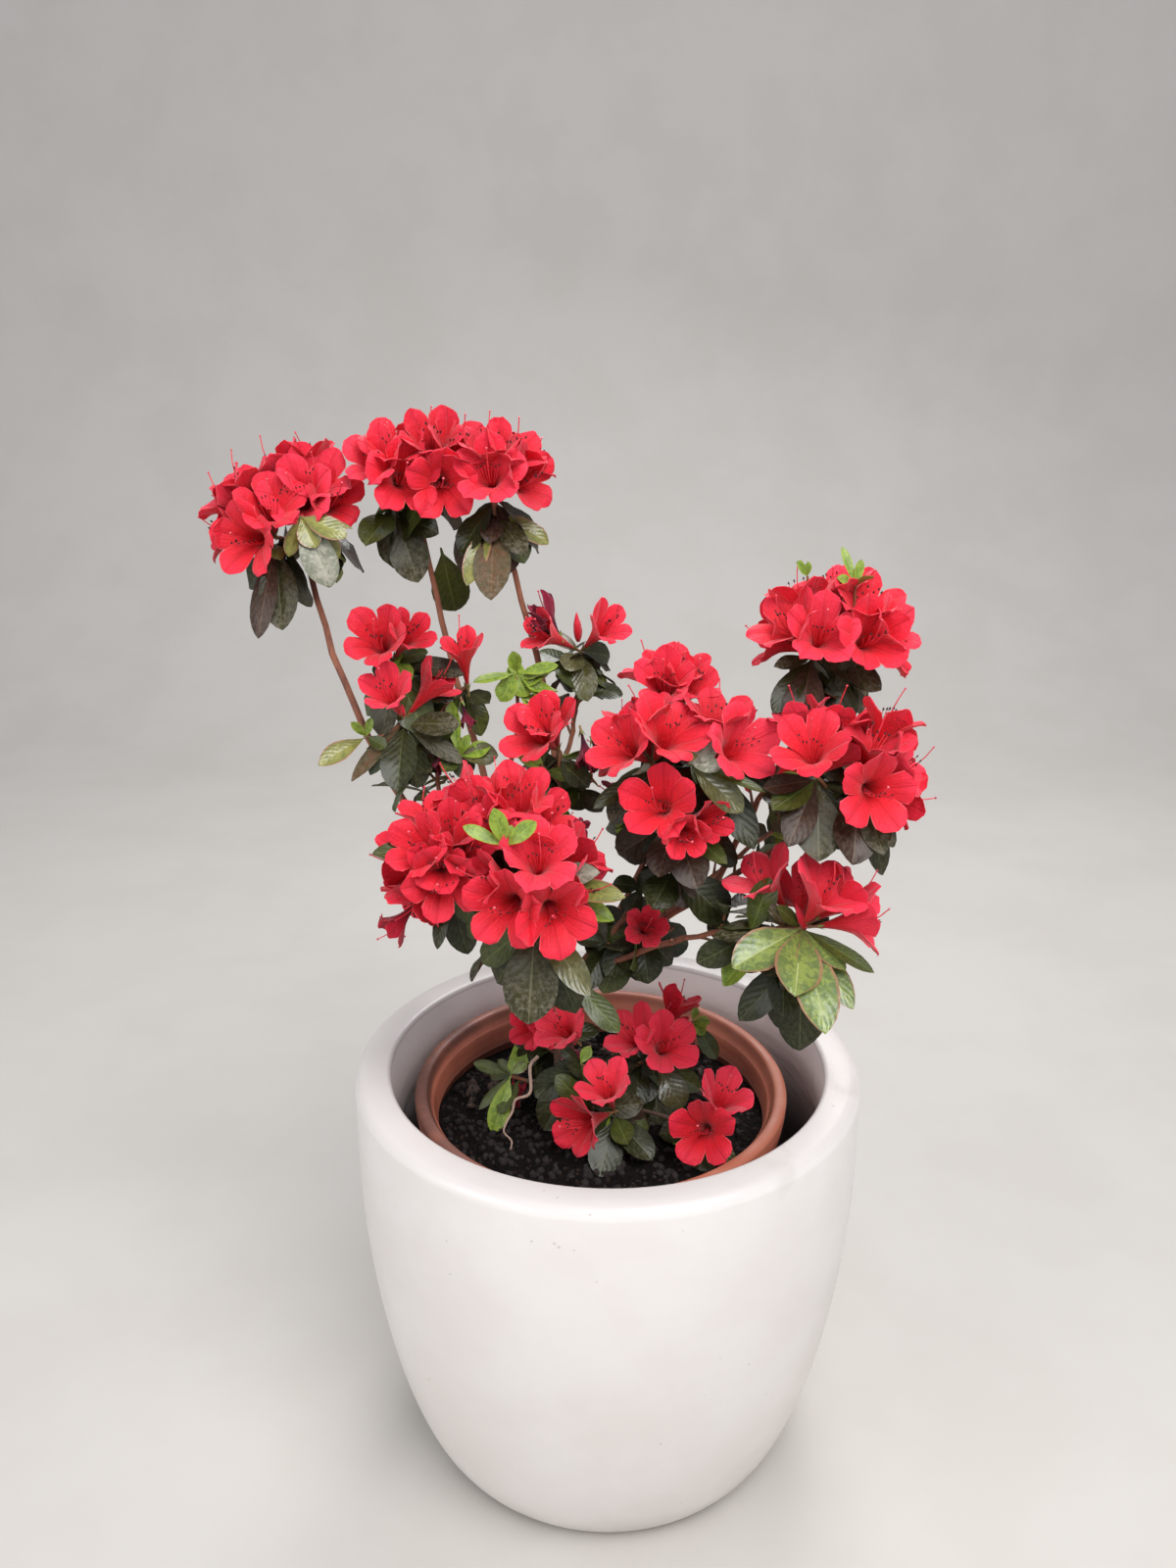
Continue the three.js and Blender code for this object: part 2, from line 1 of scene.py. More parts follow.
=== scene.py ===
# %% [markdown]
# # A red azalea in its white planter
# The imported model gives the plant as simple solids: pots, soil, trunk, boughs, and one mass of
# blooms and leaves for each bough. This lesson keeps their places and sizes, and makes each of
# them again as it really looks. Loading the frame comes first, and its solids are hidden later
# where the new pieces take their place.

# %% Load the frame
import math

import bpy
import numpy as np
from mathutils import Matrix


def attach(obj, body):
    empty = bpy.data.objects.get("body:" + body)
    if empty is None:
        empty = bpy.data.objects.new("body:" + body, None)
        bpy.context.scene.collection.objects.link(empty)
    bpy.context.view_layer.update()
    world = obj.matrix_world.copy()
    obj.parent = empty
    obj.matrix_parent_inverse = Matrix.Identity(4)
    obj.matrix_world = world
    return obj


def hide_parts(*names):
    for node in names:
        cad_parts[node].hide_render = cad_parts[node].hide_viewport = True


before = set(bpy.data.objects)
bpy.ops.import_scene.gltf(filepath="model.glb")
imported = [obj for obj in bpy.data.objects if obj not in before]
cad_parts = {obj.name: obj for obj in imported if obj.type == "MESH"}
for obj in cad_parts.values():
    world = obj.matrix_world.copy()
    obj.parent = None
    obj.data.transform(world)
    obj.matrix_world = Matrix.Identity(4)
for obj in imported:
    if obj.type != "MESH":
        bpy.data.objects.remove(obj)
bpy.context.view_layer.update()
MM = 0.001  # the plant's numbers are in millimetres, and Blender's in metres
scene = bpy.context.scene

# %% [markdown]
# ## Camera
# The photograph looks down on the planter from standing height, close by and a little to the left.
# A camera could be aimed with a Track To constraint, but a plain turn keeps it level and exact.

# %% Set up the camera
PITCH = 71.88
lens = bpy.data.cameras.new("camera")
lens.lens = 29.09
lens.sensor_width = 36
camera = bpy.data.objects.new("camera", lens)
camera.location = (-0.01156, -0.6755, 0.649)
camera.rotation_euler = (math.radians(PITCH), 0, 0)
scene.collection.objects.link(camera)
scene.camera = camera
print("camera: pitched", round(PITCH - 90, 2), "degrees")

# %% [markdown]
# Where the photograph shows a bloom or a leaf well, the tables below hold its place in the
# photograph, across and down in pixels. A line of sight through that place, met with a depth or
# with the known length of the thing, gives its place in space.

# %% Places in the photograph
PHOTO_WIDE, PHOTO_HIGH = 1200, 1600
FOCAL = PHOTO_HIGH * lens.lens / lens.sensor_width
EYE = np.array(camera.location) / MM


def unit(vector):
    vector = np.asarray(vector, float)
    return vector / np.linalg.norm(vector)


def sight(across, down):
    """The direction in which the camera sees a place in the photograph."""
    ray = ((across - PHOTO_WIDE / 2) / FOCAL, (PHOTO_HIGH / 2 - down) / FOCAL, -1.0)
    return unit(np.array(camera.rotation_euler.to_matrix()) @ ray)


def seen_at(across, down, y):
    """The point seen there whose y is known, in millimetres."""
    ray = sight(across, down)
    return EYE + ray * (y - EYE[1]) / ray[1]


def reach_of(foot, across, down):
    """How far from a foot the line of sight passes, in millimetres."""
    return np.linalg.norm(np.cross(sight(across, down), EYE - foot))


def aimed(foot, across, down, reach, behind=False):
    """The way from a foot to the point a reach away that is seen there, or nearest to it."""
    ray, back = sight(across, down), EYE - foot
    half = back @ ray
    root = math.sqrt(max(half ** 2 - back @ back + reach ** 2, 0))
    return unit(EYE + ray * (-half + (root if behind else -root)) - foot)


print("focal length:", round(FOCAL), "pixels")

# %% [markdown]
# ## Light
# The plant stands outdoors in soft shade. Three large area lights give that: a key from the upper
# right, a weaker fill from the left, and one from behind that lifts the rims of the petals.

# %% Light the scene
def softbox(name, place, target, size, energy):
    light = bpy.data.lights.new(name, "AREA")
    light.shape = "DISK"
    light.size = size
    light.energy = energy
    lamp = bpy.data.objects.new(name, light)
    lamp.location = place
    aim = np.subtract(target, place)
    yaw, drop = math.atan2(aim[1], aim[0]), math.atan2(math.hypot(aim[0], aim[1]), -aim[2])
    lamp.rotation_euler = (drop, 0, yaw - math.pi / 2)
    scene.collection.objects.link(lamp)


softbox("key_light", (0.55, -1.1, 1.9), (0, 0, 0.35), 1.4, 42)
softbox("fill_light", (-1.5, -1.1, 1.1), (0, 0, 0.35), 1.3, 14)
softbox("back_light", (0.3, 1.3, 1.7), (0, 0, 0.4), 1.0, 18)
scene.world = scene.world or bpy.data.worlds.new("world")
scene.world.use_nodes = True
sky = scene.world.node_tree.nodes["Background"]
sky.inputs["Color"].default_value = (0.86, 0.91, 1.0, 1)
sky.inputs["Strength"].default_value = 0.62
scene.view_settings.view_transform = "Standard"  # keeps the reds as full as they are
print("light: three softboxes and a soft sky")

# %% [markdown]
# ## Materials
# Every finish is a node material. What several of them share is a node group: a fine mottling of
# tone, and a pattern that follows a leaf or a petal by its UV map, where U runs across the blade
# from edge to edge and V from its foot to its tip. The shader itself stays in each material. The
# short functions below say in one word what a mask or a layer of colour does.

# %% Fill in nodes
def fill(tree, node, inputs):
    """Set a node's inputs to values, or link them to other nodes' sockets."""
    for key, value in inputs.items():
        if isinstance(value, bpy.types.NodeSocket):
            tree.links.new(value, node.inputs[key])
        else:
            node.inputs[key].default_value = value
    return node


def add(tree, kind, inputs=None, **settings):
    """A new node with its settings and its inputs."""
    node = tree.nodes.new(kind)
    for key, value in settings.items():
        setattr(node, key, value)
    return fill(tree, node, inputs or {})


def math_node(tree, how, *values):
    return add(tree, "ShaderNodeMath", dict(enumerate(values)), operation=how).outputs[0]


def times(tree, first, *others):
    """The product of masks and amounts."""
    for other in others:
        first = math_node(tree, "MULTIPLY", first, other)
    return first


def ramp(tree, value, low, high, start=0.0, end=1.0):
    """value from low to high as start to end, held at both ends."""
    inputs = {"Value": value, "From Min": low, "From Max": high, "To Min": start, "To Max": end}
    return add(tree, "ShaderNodeMapRange", inputs, interpolation_type="SMOOTHSTEP").outputs[0]


# %% Patterns
def places(tree):
    """Where a point of the object is, whole and as X, Y and Z, in metres."""
    place = tree.nodes.new("ShaderNodeTexCoord").outputs["Object"]
    return place, add(tree, "ShaderNodeSeparateXYZ", {0: place}).outputs


def stretched(tree, vector, scale):
    return add(tree, "ShaderNodeMapping", {"Vector": vector, "Scale": scale}).outputs[0]


def noise(tree, vector, scale, detail, **more):
    """Noise from 0 to 1."""
    inputs = {"Vector": vector, "Scale": scale, "Detail": detail, **more}
    return add(tree, "ShaderNodeTexNoise", inputs).outputs["Fac"]


def bump(tree, height, strength, distance):
    inputs = {"Height": height, "Strength": strength, "Distance": distance}
    return add(tree, "ShaderNodeBump", inputs).outputs[0]


# %% Colours
def colour(code):
    """A linear colour from six hexadecimal digits."""
    shares = [int(code[i:i + 2], 16) / 255 for i in (0, 2, 4)]
    return (*[c / 12.92 if c <= 0.04045 else ((c + 0.055) / 1.055) ** 2.4 for c in shares], 1)


def mix_colour(tree, share, first, second, how="MIX"):
    inputs = {0: share, 6: first, 7: second}
    return add(tree, "ShaderNodeMix", inputs, data_type="RGBA", blend_type=how).outputs[2]


def tint(tree, base, code, *shares):
    """A base with a colour laid over it, as far as the product of the shares lets it."""
    return mix_colour(tree, times(tree, *shares), base, colour(code))


# %% Start a material
def new_material(name, roughness, **constants):
    material = bpy.data.materials.new(name)
    material.use_nodes = True
    shader = material.node_tree.nodes["Principled BSDF"]
    shader.inputs["Roughness"].default_value = roughness
    for socket, value in constants.items():
        shader.inputs[socket.replace("_", " ")].default_value = value
    return material, shader, material.node_tree


def dress(tree, shader, base, roughness=None, normal=None):
    """Link a finish's colour, roughness and relief to its shader."""
    for socket, value in (("Base Color", base), ("Roughness", roughness), ("Normal", normal)):
        if value is not None:
            tree.links.new(value, shader.inputs[socket])


# %% Start a node group
def new_group(name, inputs, outputs):
    group = bpy.data.node_groups.new(name, "ShaderNodeTree")
    for label, (kind, value) in inputs.items():
        socket = group.interface.new_socket(label, in_out="INPUT", socket_type="NodeSocket" + kind)
        socket.default_value = value
    for label, kind in outputs.items():
        group.interface.new_socket(label, in_out="OUTPUT", socket_type="NodeSocket" + kind)
    return group, group.nodes.new("NodeGroupInput").outputs, group.nodes.new("NodeGroupOutput").inputs


def use_group(tree, group, **inputs):
    return add(tree, "ShaderNodeGroup", inputs, node_tree=group).outputs


# %% The mottling group
mottle, given, made = new_group(
    "mottle",
    {"Colour": ("Color", (1, 1, 1, 1)), "Second": ("Color", (0, 0, 0, 1)), "Amount": ("Float", 0.3),
     "Scale": ("Float", 40.0), "Detail": ("Float", 4.0)},
    {"Colour": "Color", "Mask": "Float"},
)
spots = noise(mottle, places(mottle)[0], given["Scale"], given["Detail"], Roughness=0.6)
mask = ramp(mottle, spots, 0.35, 0.68)
share = times(mottle, mask, given["Amount"])
mottle.links.new(mix_colour(mottle, share, given["Colour"], given["Second"]), made["Colour"])
mottle.links.new(mask, made["Mask"])


def mottled(tree, first, second, amount, scale):
    """Two tones mottled together: the colour, and the mask of the second."""
    return use_group(tree, mottle, Colour=colour(first), Second=colour(second), Amount=amount, Scale=scale)


def plain_look(name, first, second, scale, amount=0.8, roughness=0.5, relief=None):
    """A finish of two mottled tones and, where it has relief, its strength and depth in metres."""
    material, shader, tree = new_material(name, roughness)
    out = mottled(tree, first, second, amount, scale)
    dress(tree, shader, out["Colour"], normal=bump(tree, out["Mask"], *relief) if relief else None)
    return material


print("node groups:", [g.name for g in bpy.data.node_groups])

# %% [markdown]
# ## Meshes from arrays
# Petals, leaves and stamens number in the thousands. Placing objects by hand or by particles would
# be slow and the export would drop them, so each kind is gathered as arrays of points and faces and
# made one mesh at the end. The same gathering serves the turned pots.

# %% Gather shapes into one mesh
class Gathered:
    """Shapes of one kind, joined into one mesh with a UV map and a material for every face."""

    def __init__(self):
        self.points, self.uvs, self.faces, self.looks, self.count = [], [], [], [], 0

    def add(self, points, faces, looks, uvs=None):
        points = np.asarray(points, float).reshape(-1, 3)
        self.points.append(points)
        self.uvs.append(np.zeros((len(points), 2)) if uvs is None else np.asarray(uvs))
        self.faces.extend(np.asarray(faces) + self.count if isinstance(faces, np.ndarray)
                          else [[i + self.count for i in face] for face in faces])
        self.looks.extend([looks] * len(faces) if np.isscalar(looks) else looks)
        self.count += len(points)

    def triangles(self):
        return sum(len(face) - 2 for face in self.faces)

    def piece(self, name, materials, sharp=70):
        mesh = bpy.data.meshes.new(name)
        points = np.concatenate(self.points) * MM
        mesh.from_pydata(points.tolist(), [], [list(map(int, face)) for face in self.faces])
        for material in materials:
            mesh.materials.append(material)
        mesh.polygons.foreach_set("material_index", np.array(self.looks, np.int32))
        corners = np.zeros(len(mesh.loops), np.int32)
        mesh.loops.foreach_get("vertex_index", corners)
        layer = mesh.uv_layers.new(name="blade")
        layer.data.foreach_set("uv", np.concatenate(self.uvs)[corners].ravel())
        mesh.shade_smooth()
        mesh.set_sharp_from_angle(angle=math.radians(sharp))
        piece = bpy.data.objects.new(name, mesh)
        scene.collection.objects.link(piece)
        print(f"{name}: {self.triangles()} triangles, {len(materials)} materials")
        return piece


def turned(profile, sides, centre=(0, 0)):
    """Points and quads of a profile of (radius, height), turned round the upright axis. The ends
    that lie on the axis are closed with fans."""
    profile = np.asarray(profile, float)
    angles = np.arange(sides) * 2 * math.pi / sides
    ring = np.stack([np.cos(angles), np.sin(angles)], 1)
    closed = [radius < 1e-6 for radius in profile[:, 0]]
    points, faces, starts = [], [], []
    for (radius, height), on_axis in zip(profile, closed):
        starts.append(len(points))
        if on_axis:
            points.append((centre[0], centre[1], height))
        else:
            points.extend((centre[0] + radius * x, centre[1] + radius * y, height) for x, y in ring)
    for k in range(len(profile) - 1):
        low, high = starts[k], starts[k + 1]
        for i in range(sides):
            j = (i + 1) % sides
            if closed[k]:
                faces.append([low, high + j, high + i])
            elif closed[k + 1]:
                faces.append([low + i, low + j, high])
            else:
                faces.append([low + i, low + j, high + j, high + i])
    return points, faces


# %% [markdown]
# ## The planter
# The planter is a thick cast shell with a satin white skin: a narrow foot, a wall that swells to
# upright, and a broad flat lip with a soft outer edge and a crisper inner one. A lathe profile with
# the Screw modifier would do, but here the profile is turned in code, because the wall follows a
# formula and the rim wants points packed closely round its edges.

# %% Turn the planter
RIM, FOOT, HEIGHT, WALL, FLOOR, MOUTH = 150, 102, 256, 18, 24, 129
SHOULDER = 200  # the height from which the wall is upright
LIP_ROUND, MOUTH_ROUND = 7, 3
PLANTER_SIDES = 144


def wall_radius(height):
    """The planter's outer radius at a height."""
    rise = np.minimum(height / SHOULDER, 1)
    return FOOT + (RIM - FOOT) * (1 - (1 - rise) ** 1.72) ** 0.59


def quarter(radius, height, round_off, first, last, steps=7):
    """A rounded edge about a centre, from one angle to another in degrees."""
    angles = np.radians(np.linspace(first, last, steps))
    return [(radius + round_off * math.cos(a), height + round_off * math.sin(a)) for a in angles]


levels = SHOULDER * np.linspace(0, 1, 36) ** 1.7
foot_ring = [(0, 1.2), (FOOT - 14, 1.2), (FOOT - 10, 0), (FOOT - 3, 0), (FOOT - 0.6, 0.7)]
wall_outside = [(wall_radius(z), z) for z in levels[1:]]
lip = [*quarter(RIM - LIP_ROUND, HEIGHT - LIP_ROUND, LIP_ROUND, 0, 86), (RIM - 10, HEIGHT - 0.02),
       *quarter(MOUTH + MOUTH_ROUND, HEIGHT - MOUTH_ROUND, MOUTH_ROUND, 92, 180, 5)]
outside = foot_ring + wall_outside + lip
inside = [(min(wall_radius(z) - WALL, MOUTH), z) for z in levels if z > FLOOR + 7][::-1]
corner = inside[-1][0]
inside += [(corner - 4, FLOOR + 2), (corner - 9, FLOOR), (0, FLOOR)]
points, faces = turned(outside + inside, PLANTER_SIDES)
outer_faces = (len(outside) - 1) * PLANTER_SIDES
planter_parts = Gathered()
planter_parts.add(points, faces, [0 if k < outer_faces else 1 for k in range(len(faces))])

# %% [markdown]
# The skin of the planter is nearly white, but not quite: it has a faint warm mottling, small nicks
# and specks where it has been knocked, and grey smudges on the right of its lip from hands and soil.
# The flat top of its lip is painted a little darker, as painted shade against the strong light from
# above, and low on the right the skin is painted warmer and darker, partly a warm stain and partly
# painted shade with a painted warm reflection. The inner wall never gets wiped, so it has grey
# brush-like smears that gather lower down; near the top it is also painted paler than the outer skin,
# as painted light, and towards the bottom it is painted dark, as painted shade deep in the planter.
# Masks of height and noise put each of these in place, on Object coordinates, so they stay put from
# every side.

# %% The planter's skin
skin, shader, tree = new_material("white_skin", 0.36, Coat_Weight=0.15, Coat_Roughness=0.3)
place, axes = places(tree)
dots = add(tree, "ShaderNodeTexVoronoi", {"Vector": place, "Scale": 95.0, "Randomness": 1.0})
speck = times(tree, ramp(tree, dots.outputs["Distance"], 0.05, 0.10, 1, 0),
              ramp(tree, noise(tree, place, 17.0, 1.0), 0.60, 0.66))
smears = noise(tree, place, 26.0, 5.0, Distortion=0.6)
lip_right = times(tree, ramp(tree, axes["X"], 0.03, 0.13), ramp(tree, axes["Z"], 0.235, 0.254))
smudge = times(tree, lip_right, ramp(tree, smears, 0.52, 0.70))
# Low on the right: partly a warm stain, partly painted shade and a painted warm reflection.
low_right = times(tree, ramp(tree, axes["X"], 0.06, 0.13), ramp(tree, axes["Z"], 0.12, 0.02))
stain_and_painted_shade = times(tree, low_right, ramp(tree, smears, 0.45, 0.75))
foot_dust = times(tree, ramp(tree, axes["Z"], 0.035, 0.0), ramp(tree, smears, 0.35, 0.62))
base = mottled(tree, "e0dad6", "d6cec8", 0.55, 14.0)["Colour"]
# Painted shade: the lip's flat top is painted darker, against the strong light from above.
base = tint(tree, base, "cdc6c2", ramp(tree, axes["Z"], 0.250, 0.2548))
base = tint(tree, base, "a79f97", smudge, 0.42)
base = tint(tree, base, "c7ab8c", stain_and_painted_shade, 0.35)
base = tint(tree, base, "b3aaa0", foot_dust, 0.4)
base = tint(tree, base, "8f867e", speck, 0.35)
pits = math_node(tree, "SUBTRACT", noise(tree, place, 9.0, 2.0), times(tree, speck, 0.35))
dress(tree, shader, base, ramp(tree, smears, 0.3, 0.75, 0.30, 0.46), bump(tree, pits, 0.25, 0.0016))

inner_skin, shader, tree = new_material("inner_skin", 0.55)
place, axes = places(tree)
strokes = noise(tree, stretched(tree, place, (9, 9, 30)), 1.6, 6.0, Distortion=1.2)
dirt = times(tree, ramp(tree, strokes, 0.42, 0.70), ramp(tree, axes["Z"], 0.246, 0.20, 0.03, 1.0))
# Painted shade: the inner wall is painted dark towards the bottom, deep in the planter. Painted light: its
# upper part is paler than the outer skin.
deep = ramp(tree, axes["Z"], 0.232, 0.17)
base = mix_colour(tree, deep, colour("f6f1ee"), colour("5e5956"))
base = tint(tree, base, "6f6b69", dirt, 0.75)
dress(tree, shader, base, ramp(tree, strokes, 0.3, 0.8, 0.42, 0.7), bump(tree, strokes, 0.35, 0.0012))
planter = planter_parts.piece("planter_shell", [skin, inner_skin], sharp=50)

# %% [markdown]
# ## The grow pot
# Inside stands the nursery's pot of terracotta-coloured plastic, moulded thin: a rolled rim, a step
# ring just inside it, and a wall that narrows downwards. It is turned like the planter, and then its
# soft rim is let down a little at the front. Its finish is a plain moulded plastic, worn and darker
# on the rim, a little dusty, and darker towards the soil. The left of its rim is darker still, partly
# from grime and partly as painted shade.

# %% Turn the grow pot
POT_X, POT_TOP, POT_FOOT, BAND = -4, 243, FLOOR + 0.3, 22
POT_RIM, POT_BASE, POT_WALL = 112, 79, 3
LEVEL, DOME = 216, 3  # the soil's height at the pot's wall, and how much it rises to its middle
RIM_DROP = 8  # how much lower the rim is at the front than at the back
OUTER_ROUND, INNER_ROUND, RIM_WIDE = 3.2, 2.6, 7.8


def pot_inside(height):
    """The grow pot's inner radius at a height."""
    wider = POT_RIM - 2 * POT_WALL - POT_BASE
    return POT_BASE - POT_WALL + wider * (height - FLOOR) / (POT_TOP - FLOOR)


def let_down(x, y, z):
    """A point of the pot with its place in the sloping rim."""
    upper = max(z - LEVEL, 0) / (POT_TOP - LEVEL)
    return x, y, z - RIM_DROP * upper * (0.5 - y / (2 * POT_RIM))


band_foot = POT_TOP - BAND
step = [(9.3, 5), (9.8, 7.5), (10.8, 8.4), (11.4, 9.6), (12.1, 14)]  # in from the edge, and down
pot_profile = [
    (0, POT_FOOT), (POT_BASE - 2, POT_FOOT), (POT_BASE, POT_FOOT + 2),
    (pot_inside(band_foot) + POT_WALL, band_foot), (POT_RIM - 2.4, band_foot),
    (POT_RIM - 1.8, band_foot + 0.6), (POT_RIM - 0.4, band_foot + 12),
    *quarter(POT_RIM - OUTER_ROUND, POT_TOP - OUTER_ROUND, OUTER_ROUND, 0, 90, 6),
    *quarter(POT_RIM - RIM_WIDE + INNER_ROUND, POT_TOP - INNER_ROUND, INNER_ROUND, 90, 180, 5),
    *[(POT_RIM - inwards, POT_TOP - down) for inwards, down in step],
    (POT_RIM - 12.8, band_foot + 1), (POT_RIM - 13.6, band_foot),
    (pot_inside(band_foot) - 0.1, band_foot - 1.5), (pot_inside(120), 120),
    (POT_BASE - 2.6, POT_FOOT + 5), (POT_BASE - 5, POT_FOOT + POT_WALL), (0, POT_FOOT + POT_WALL),
]
points, faces = turned(pot_profile, 128, (POT_X, 0))
pot_parts = Gathered()
pot_parts.add([let_down(*point) for point in points], faces, 0)

# %% The pot's plastic
plastic, shader, tree = new_material("terracotta_plastic", 0.5)
place, axes = places(tree)
slope = RIM_DROP / (2 * POT_RIM)
level = math_node(tree, "SUBTRACT", axes["Z"], times(tree, axes["Y"], slope))
on_rim = ramp(tree, level, 0.2325, 0.2365)
dust = noise(tree, place, 60.0, 6.0)
dusty = times(tree, ramp(tree, dust, 0.48, 0.72), ramp(tree, axes["Z"], 0.225, 0.243, 0.15, 0.6))
# The wall is made darker towards the soil.
darker_to_soil = ramp(tree, axes["Z"], 0.228, 0.216)
# Partly grime, partly painted shade: the left of the rim is painted darker.
on_left = times(tree, ramp(tree, axes["X"], -0.03, -0.10), on_rim)
grime_and_painted_shade = times(tree, on_left, ramp(tree, dust, 0.25, 0.55, 0.45, 0.9))
base = mottled(tree, "c8755c", "a65a45", 0.8, 22.0)["Colour"]
base = tint(tree, base, "a86049", on_rim)
base = tint(tree, base, "b47a64", dusty)
base = tint(tree, base, "3f2018", darker_to_soil, 0.75)
base = tint(tree, base, "6b463c", grime_and_painted_shade)
dress(tree, shader, base, ramp(tree, dust, 0.3, 0.75, 0.42, 0.62), bump(tree, dust, 0.15, 0.0004))
grow_pot = pot_parts.piece("grow_pot_shell", [plastic], sharp=40)

# %% [markdown]
# ## The soil
# The pot is filled with dark peaty compost, lumpy and damp, with paler bark chips towards the back.
# Its body is turned with an uneven top. The crumbs on it are the kind of repeat that Geometry Nodes
# do well: points are scattered over the top face and a few-sided lump is placed on each one.

# %% Turn the soil
def lump(x, y):
    """The unevenness of the soil's top, in millimetres."""
    return (1.7 * math.sin(x * 0.11 + 1.3) * math.cos(y * 0.13 - 0.4)
            + 1.1 * math.sin(x * 0.31 + y * 0.21) + 0.8 * math.cos(x * 0.47 - y * 0.55 + 2))


def from_middle(x, y):
    return math.hypot(x - POT_X, y)


def heaped(x, y, z):
    """A point of the soil, moved up or down if it is on top, and less so near the wall."""
    near_wall = min(1, (edge + 3 - from_middle(x, y)) / 12)
    return x, y, z + lump(x, y) * near_wall if z > LEVEL - 4 else z


edge = pot_inside(LEVEL) - 0.6
soil_foot = POT_FOOT + POT_WALL + 0.3
rings = [(r, LEVEL + DOME * (1 - (r / edge) ** 2)) for r in np.linspace(edge, 0, 24)]
soil_profile = [(0, soil_foot), (75, soil_foot), (edge - 0.5, LEVEL - 3), *rings]
points, faces = turned(soil_profile, 90, (POT_X, 0))
soil_parts = Gathered()
soil_parts.add([heaped(*point) for point in points], faces, 0)

earth, shader, tree = new_material("compost", 0.95, Specular_IOR_Level=0.15)
grit = add(tree, "ShaderNodeTexVoronoi", {"Vector": places(tree)[0], "Scale": 420.0}).outputs
grain = add(tree, "ShaderNodeSeparateColor", {0: grit["Color"]}).outputs[0]
base = mottled(tree, "17100e", "0b0707", 1.0, 120.0)["Colour"]
base = tint(tree, base, "4c3c33", ramp(tree, grain, 0.90, 0.96), 0.35)
dress(tree, shader, base, normal=bump(tree, grit["Distance"], 0.9, 0.003))
soil_body = soil_parts.piece("soil_body", [earth], sharp=80)

# %% [markdown]
# Geometry Nodes make the crumbs: the tree takes a surface, scatters points on it with a fixed seed,
# puts a lump on each point with its own turn and size, roughens them, and gives them a material.
# The modifier's inputs are set by their identifiers before it is first run, and what it makes is
# turned into a plain mesh, so nothing live is left behind.

# %% Build and run node trees
def node_tree(name, inputs):
    tree = bpy.data.node_groups.new(name, "GeometryNodeTree")
    tree.interface.new_socket("Geometry", in_out="INPUT", socket_type="NodeSocketGeometry")
    for label, kind in inputs.items():
        tree.interface.new_socket(label, in_out="INPUT", socket_type="NodeSocket" + kind)
    tree.interface.new_socket("Geometry", in_out="OUTPUT", socket_type="NodeSocketGeometry")
    return tree, tree.nodes.new("NodeGroupInput").outputs, tree.nodes.new("NodeGroupOutput")


def scaled_by(tree, vector, scale):
    return add(tree, "ShaderNodeVectorMath", {0: vector, "Scale": scale}, operation="SCALE").outputs[0]


def end_tree(tree, shapes, material, made):
    """Make the instances real, give them their material, and end the tree."""
    real = add(tree, "GeometryNodeRealizeInstances", {0: shapes})
    dressed = add(tree, "GeometryNodeSetMaterial", {"Geometry": real.outputs[0], "Material": material})
    tree.links.new(dressed.outputs[0], made.inputs[0])


def made_by(tree, start, name, values):
    """The plain mesh that a node tree makes from a starting object, which is then removed."""
    scene.collection.objects.link(start)
    modifier = start.modifiers.new("maker", "NODES")
    modifier.node_group = tree
    sockets = {s.name: s.identifier for s in tree.interface.items_tree if s.in_out == "INPUT"}
    for label, value in values.items():
        modifier[sockets[label]] = value
    bpy.context.view_layer.update()
    grown = start.evaluated_get(bpy.context.evaluated_depsgraph_get())
    mesh = bpy.data.meshes.new_from_object(grown)
    mesh.name = name
    mesh.shade_smooth()
    piece = bpy.data.objects.new(name, mesh)
    scene.collection.objects.link(piece)
    start.modifiers.remove(modifier)
    bpy.data.objects.remove(start)
    mesh.calc_loop_triangles()
    print(f"{name}: {len(mesh.loop_triangles)} triangles")
    return piece


# %% The crumb tree
crumbs, given, made = node_tree(
    "scatter_crumbs",
    {"Crumbs": "Float", "Smallest": "Float", "Largest": "Float", "Flatness": "Float",
     "Roughness": "Float", "Seed": "Int", "Material": "Material"},
)
scatter = add(crumbs, "GeometryNodeDistributePointsOnFaces",
              {"Mesh": given["Geometry"], "Density": given["Crumbs"], "Seed": given["Seed"]})
ball = add(crumbs, "GeometryNodeMeshIcoSphere", {"Radius": 1.0, "Subdivisions": 1})
any_turn = add(crumbs, "FunctionNodeRandomValue", {1: (6.28, 6.28, 6.28), "Seed": given["Seed"]},
               data_type="FLOAT_VECTOR")
turn = add(crumbs, "FunctionNodeEulerToRotation", {0: any_turn.outputs["Value"]})
size = add(crumbs, "FunctionNodeRandomValue", {2: given["Smallest"], 3: given["Largest"], "Seed": 5},
           data_type="FLOAT")
shape = add(crumbs, "ShaderNodeCombineXYZ", {0: 1.0, 1: 0.8, 2: given["Flatness"]})
placed = add(crumbs, "GeometryNodeInstanceOnPoints", {
    "Points": scatter.outputs["Points"], "Instance": ball.outputs["Mesh"],
    "Rotation": turn.outputs[0], "Scale": scaled_by(crumbs, shape.outputs[0], size.outputs[1])})
real = add(crumbs, "GeometryNodeRealizeInstances", {0: placed.outputs[0]})
rough = add(crumbs, "ShaderNodeTexNoise", {"Scale": 400.0, "Detail": 1.0}).outputs["Color"]
centred = add(crumbs, "ShaderNodeVectorMath", {0: rough, 1: (0.5, 0.5, 0.5)}, operation="SUBTRACT")
push = scaled_by(crumbs, centred.outputs[0], given["Roughness"])
moved = add(crumbs, "GeometryNodeSetPosition", {"Geometry": real.outputs[0], "Offset": push})
end_tree(crumbs, moved.outputs[0], given["Material"], made)


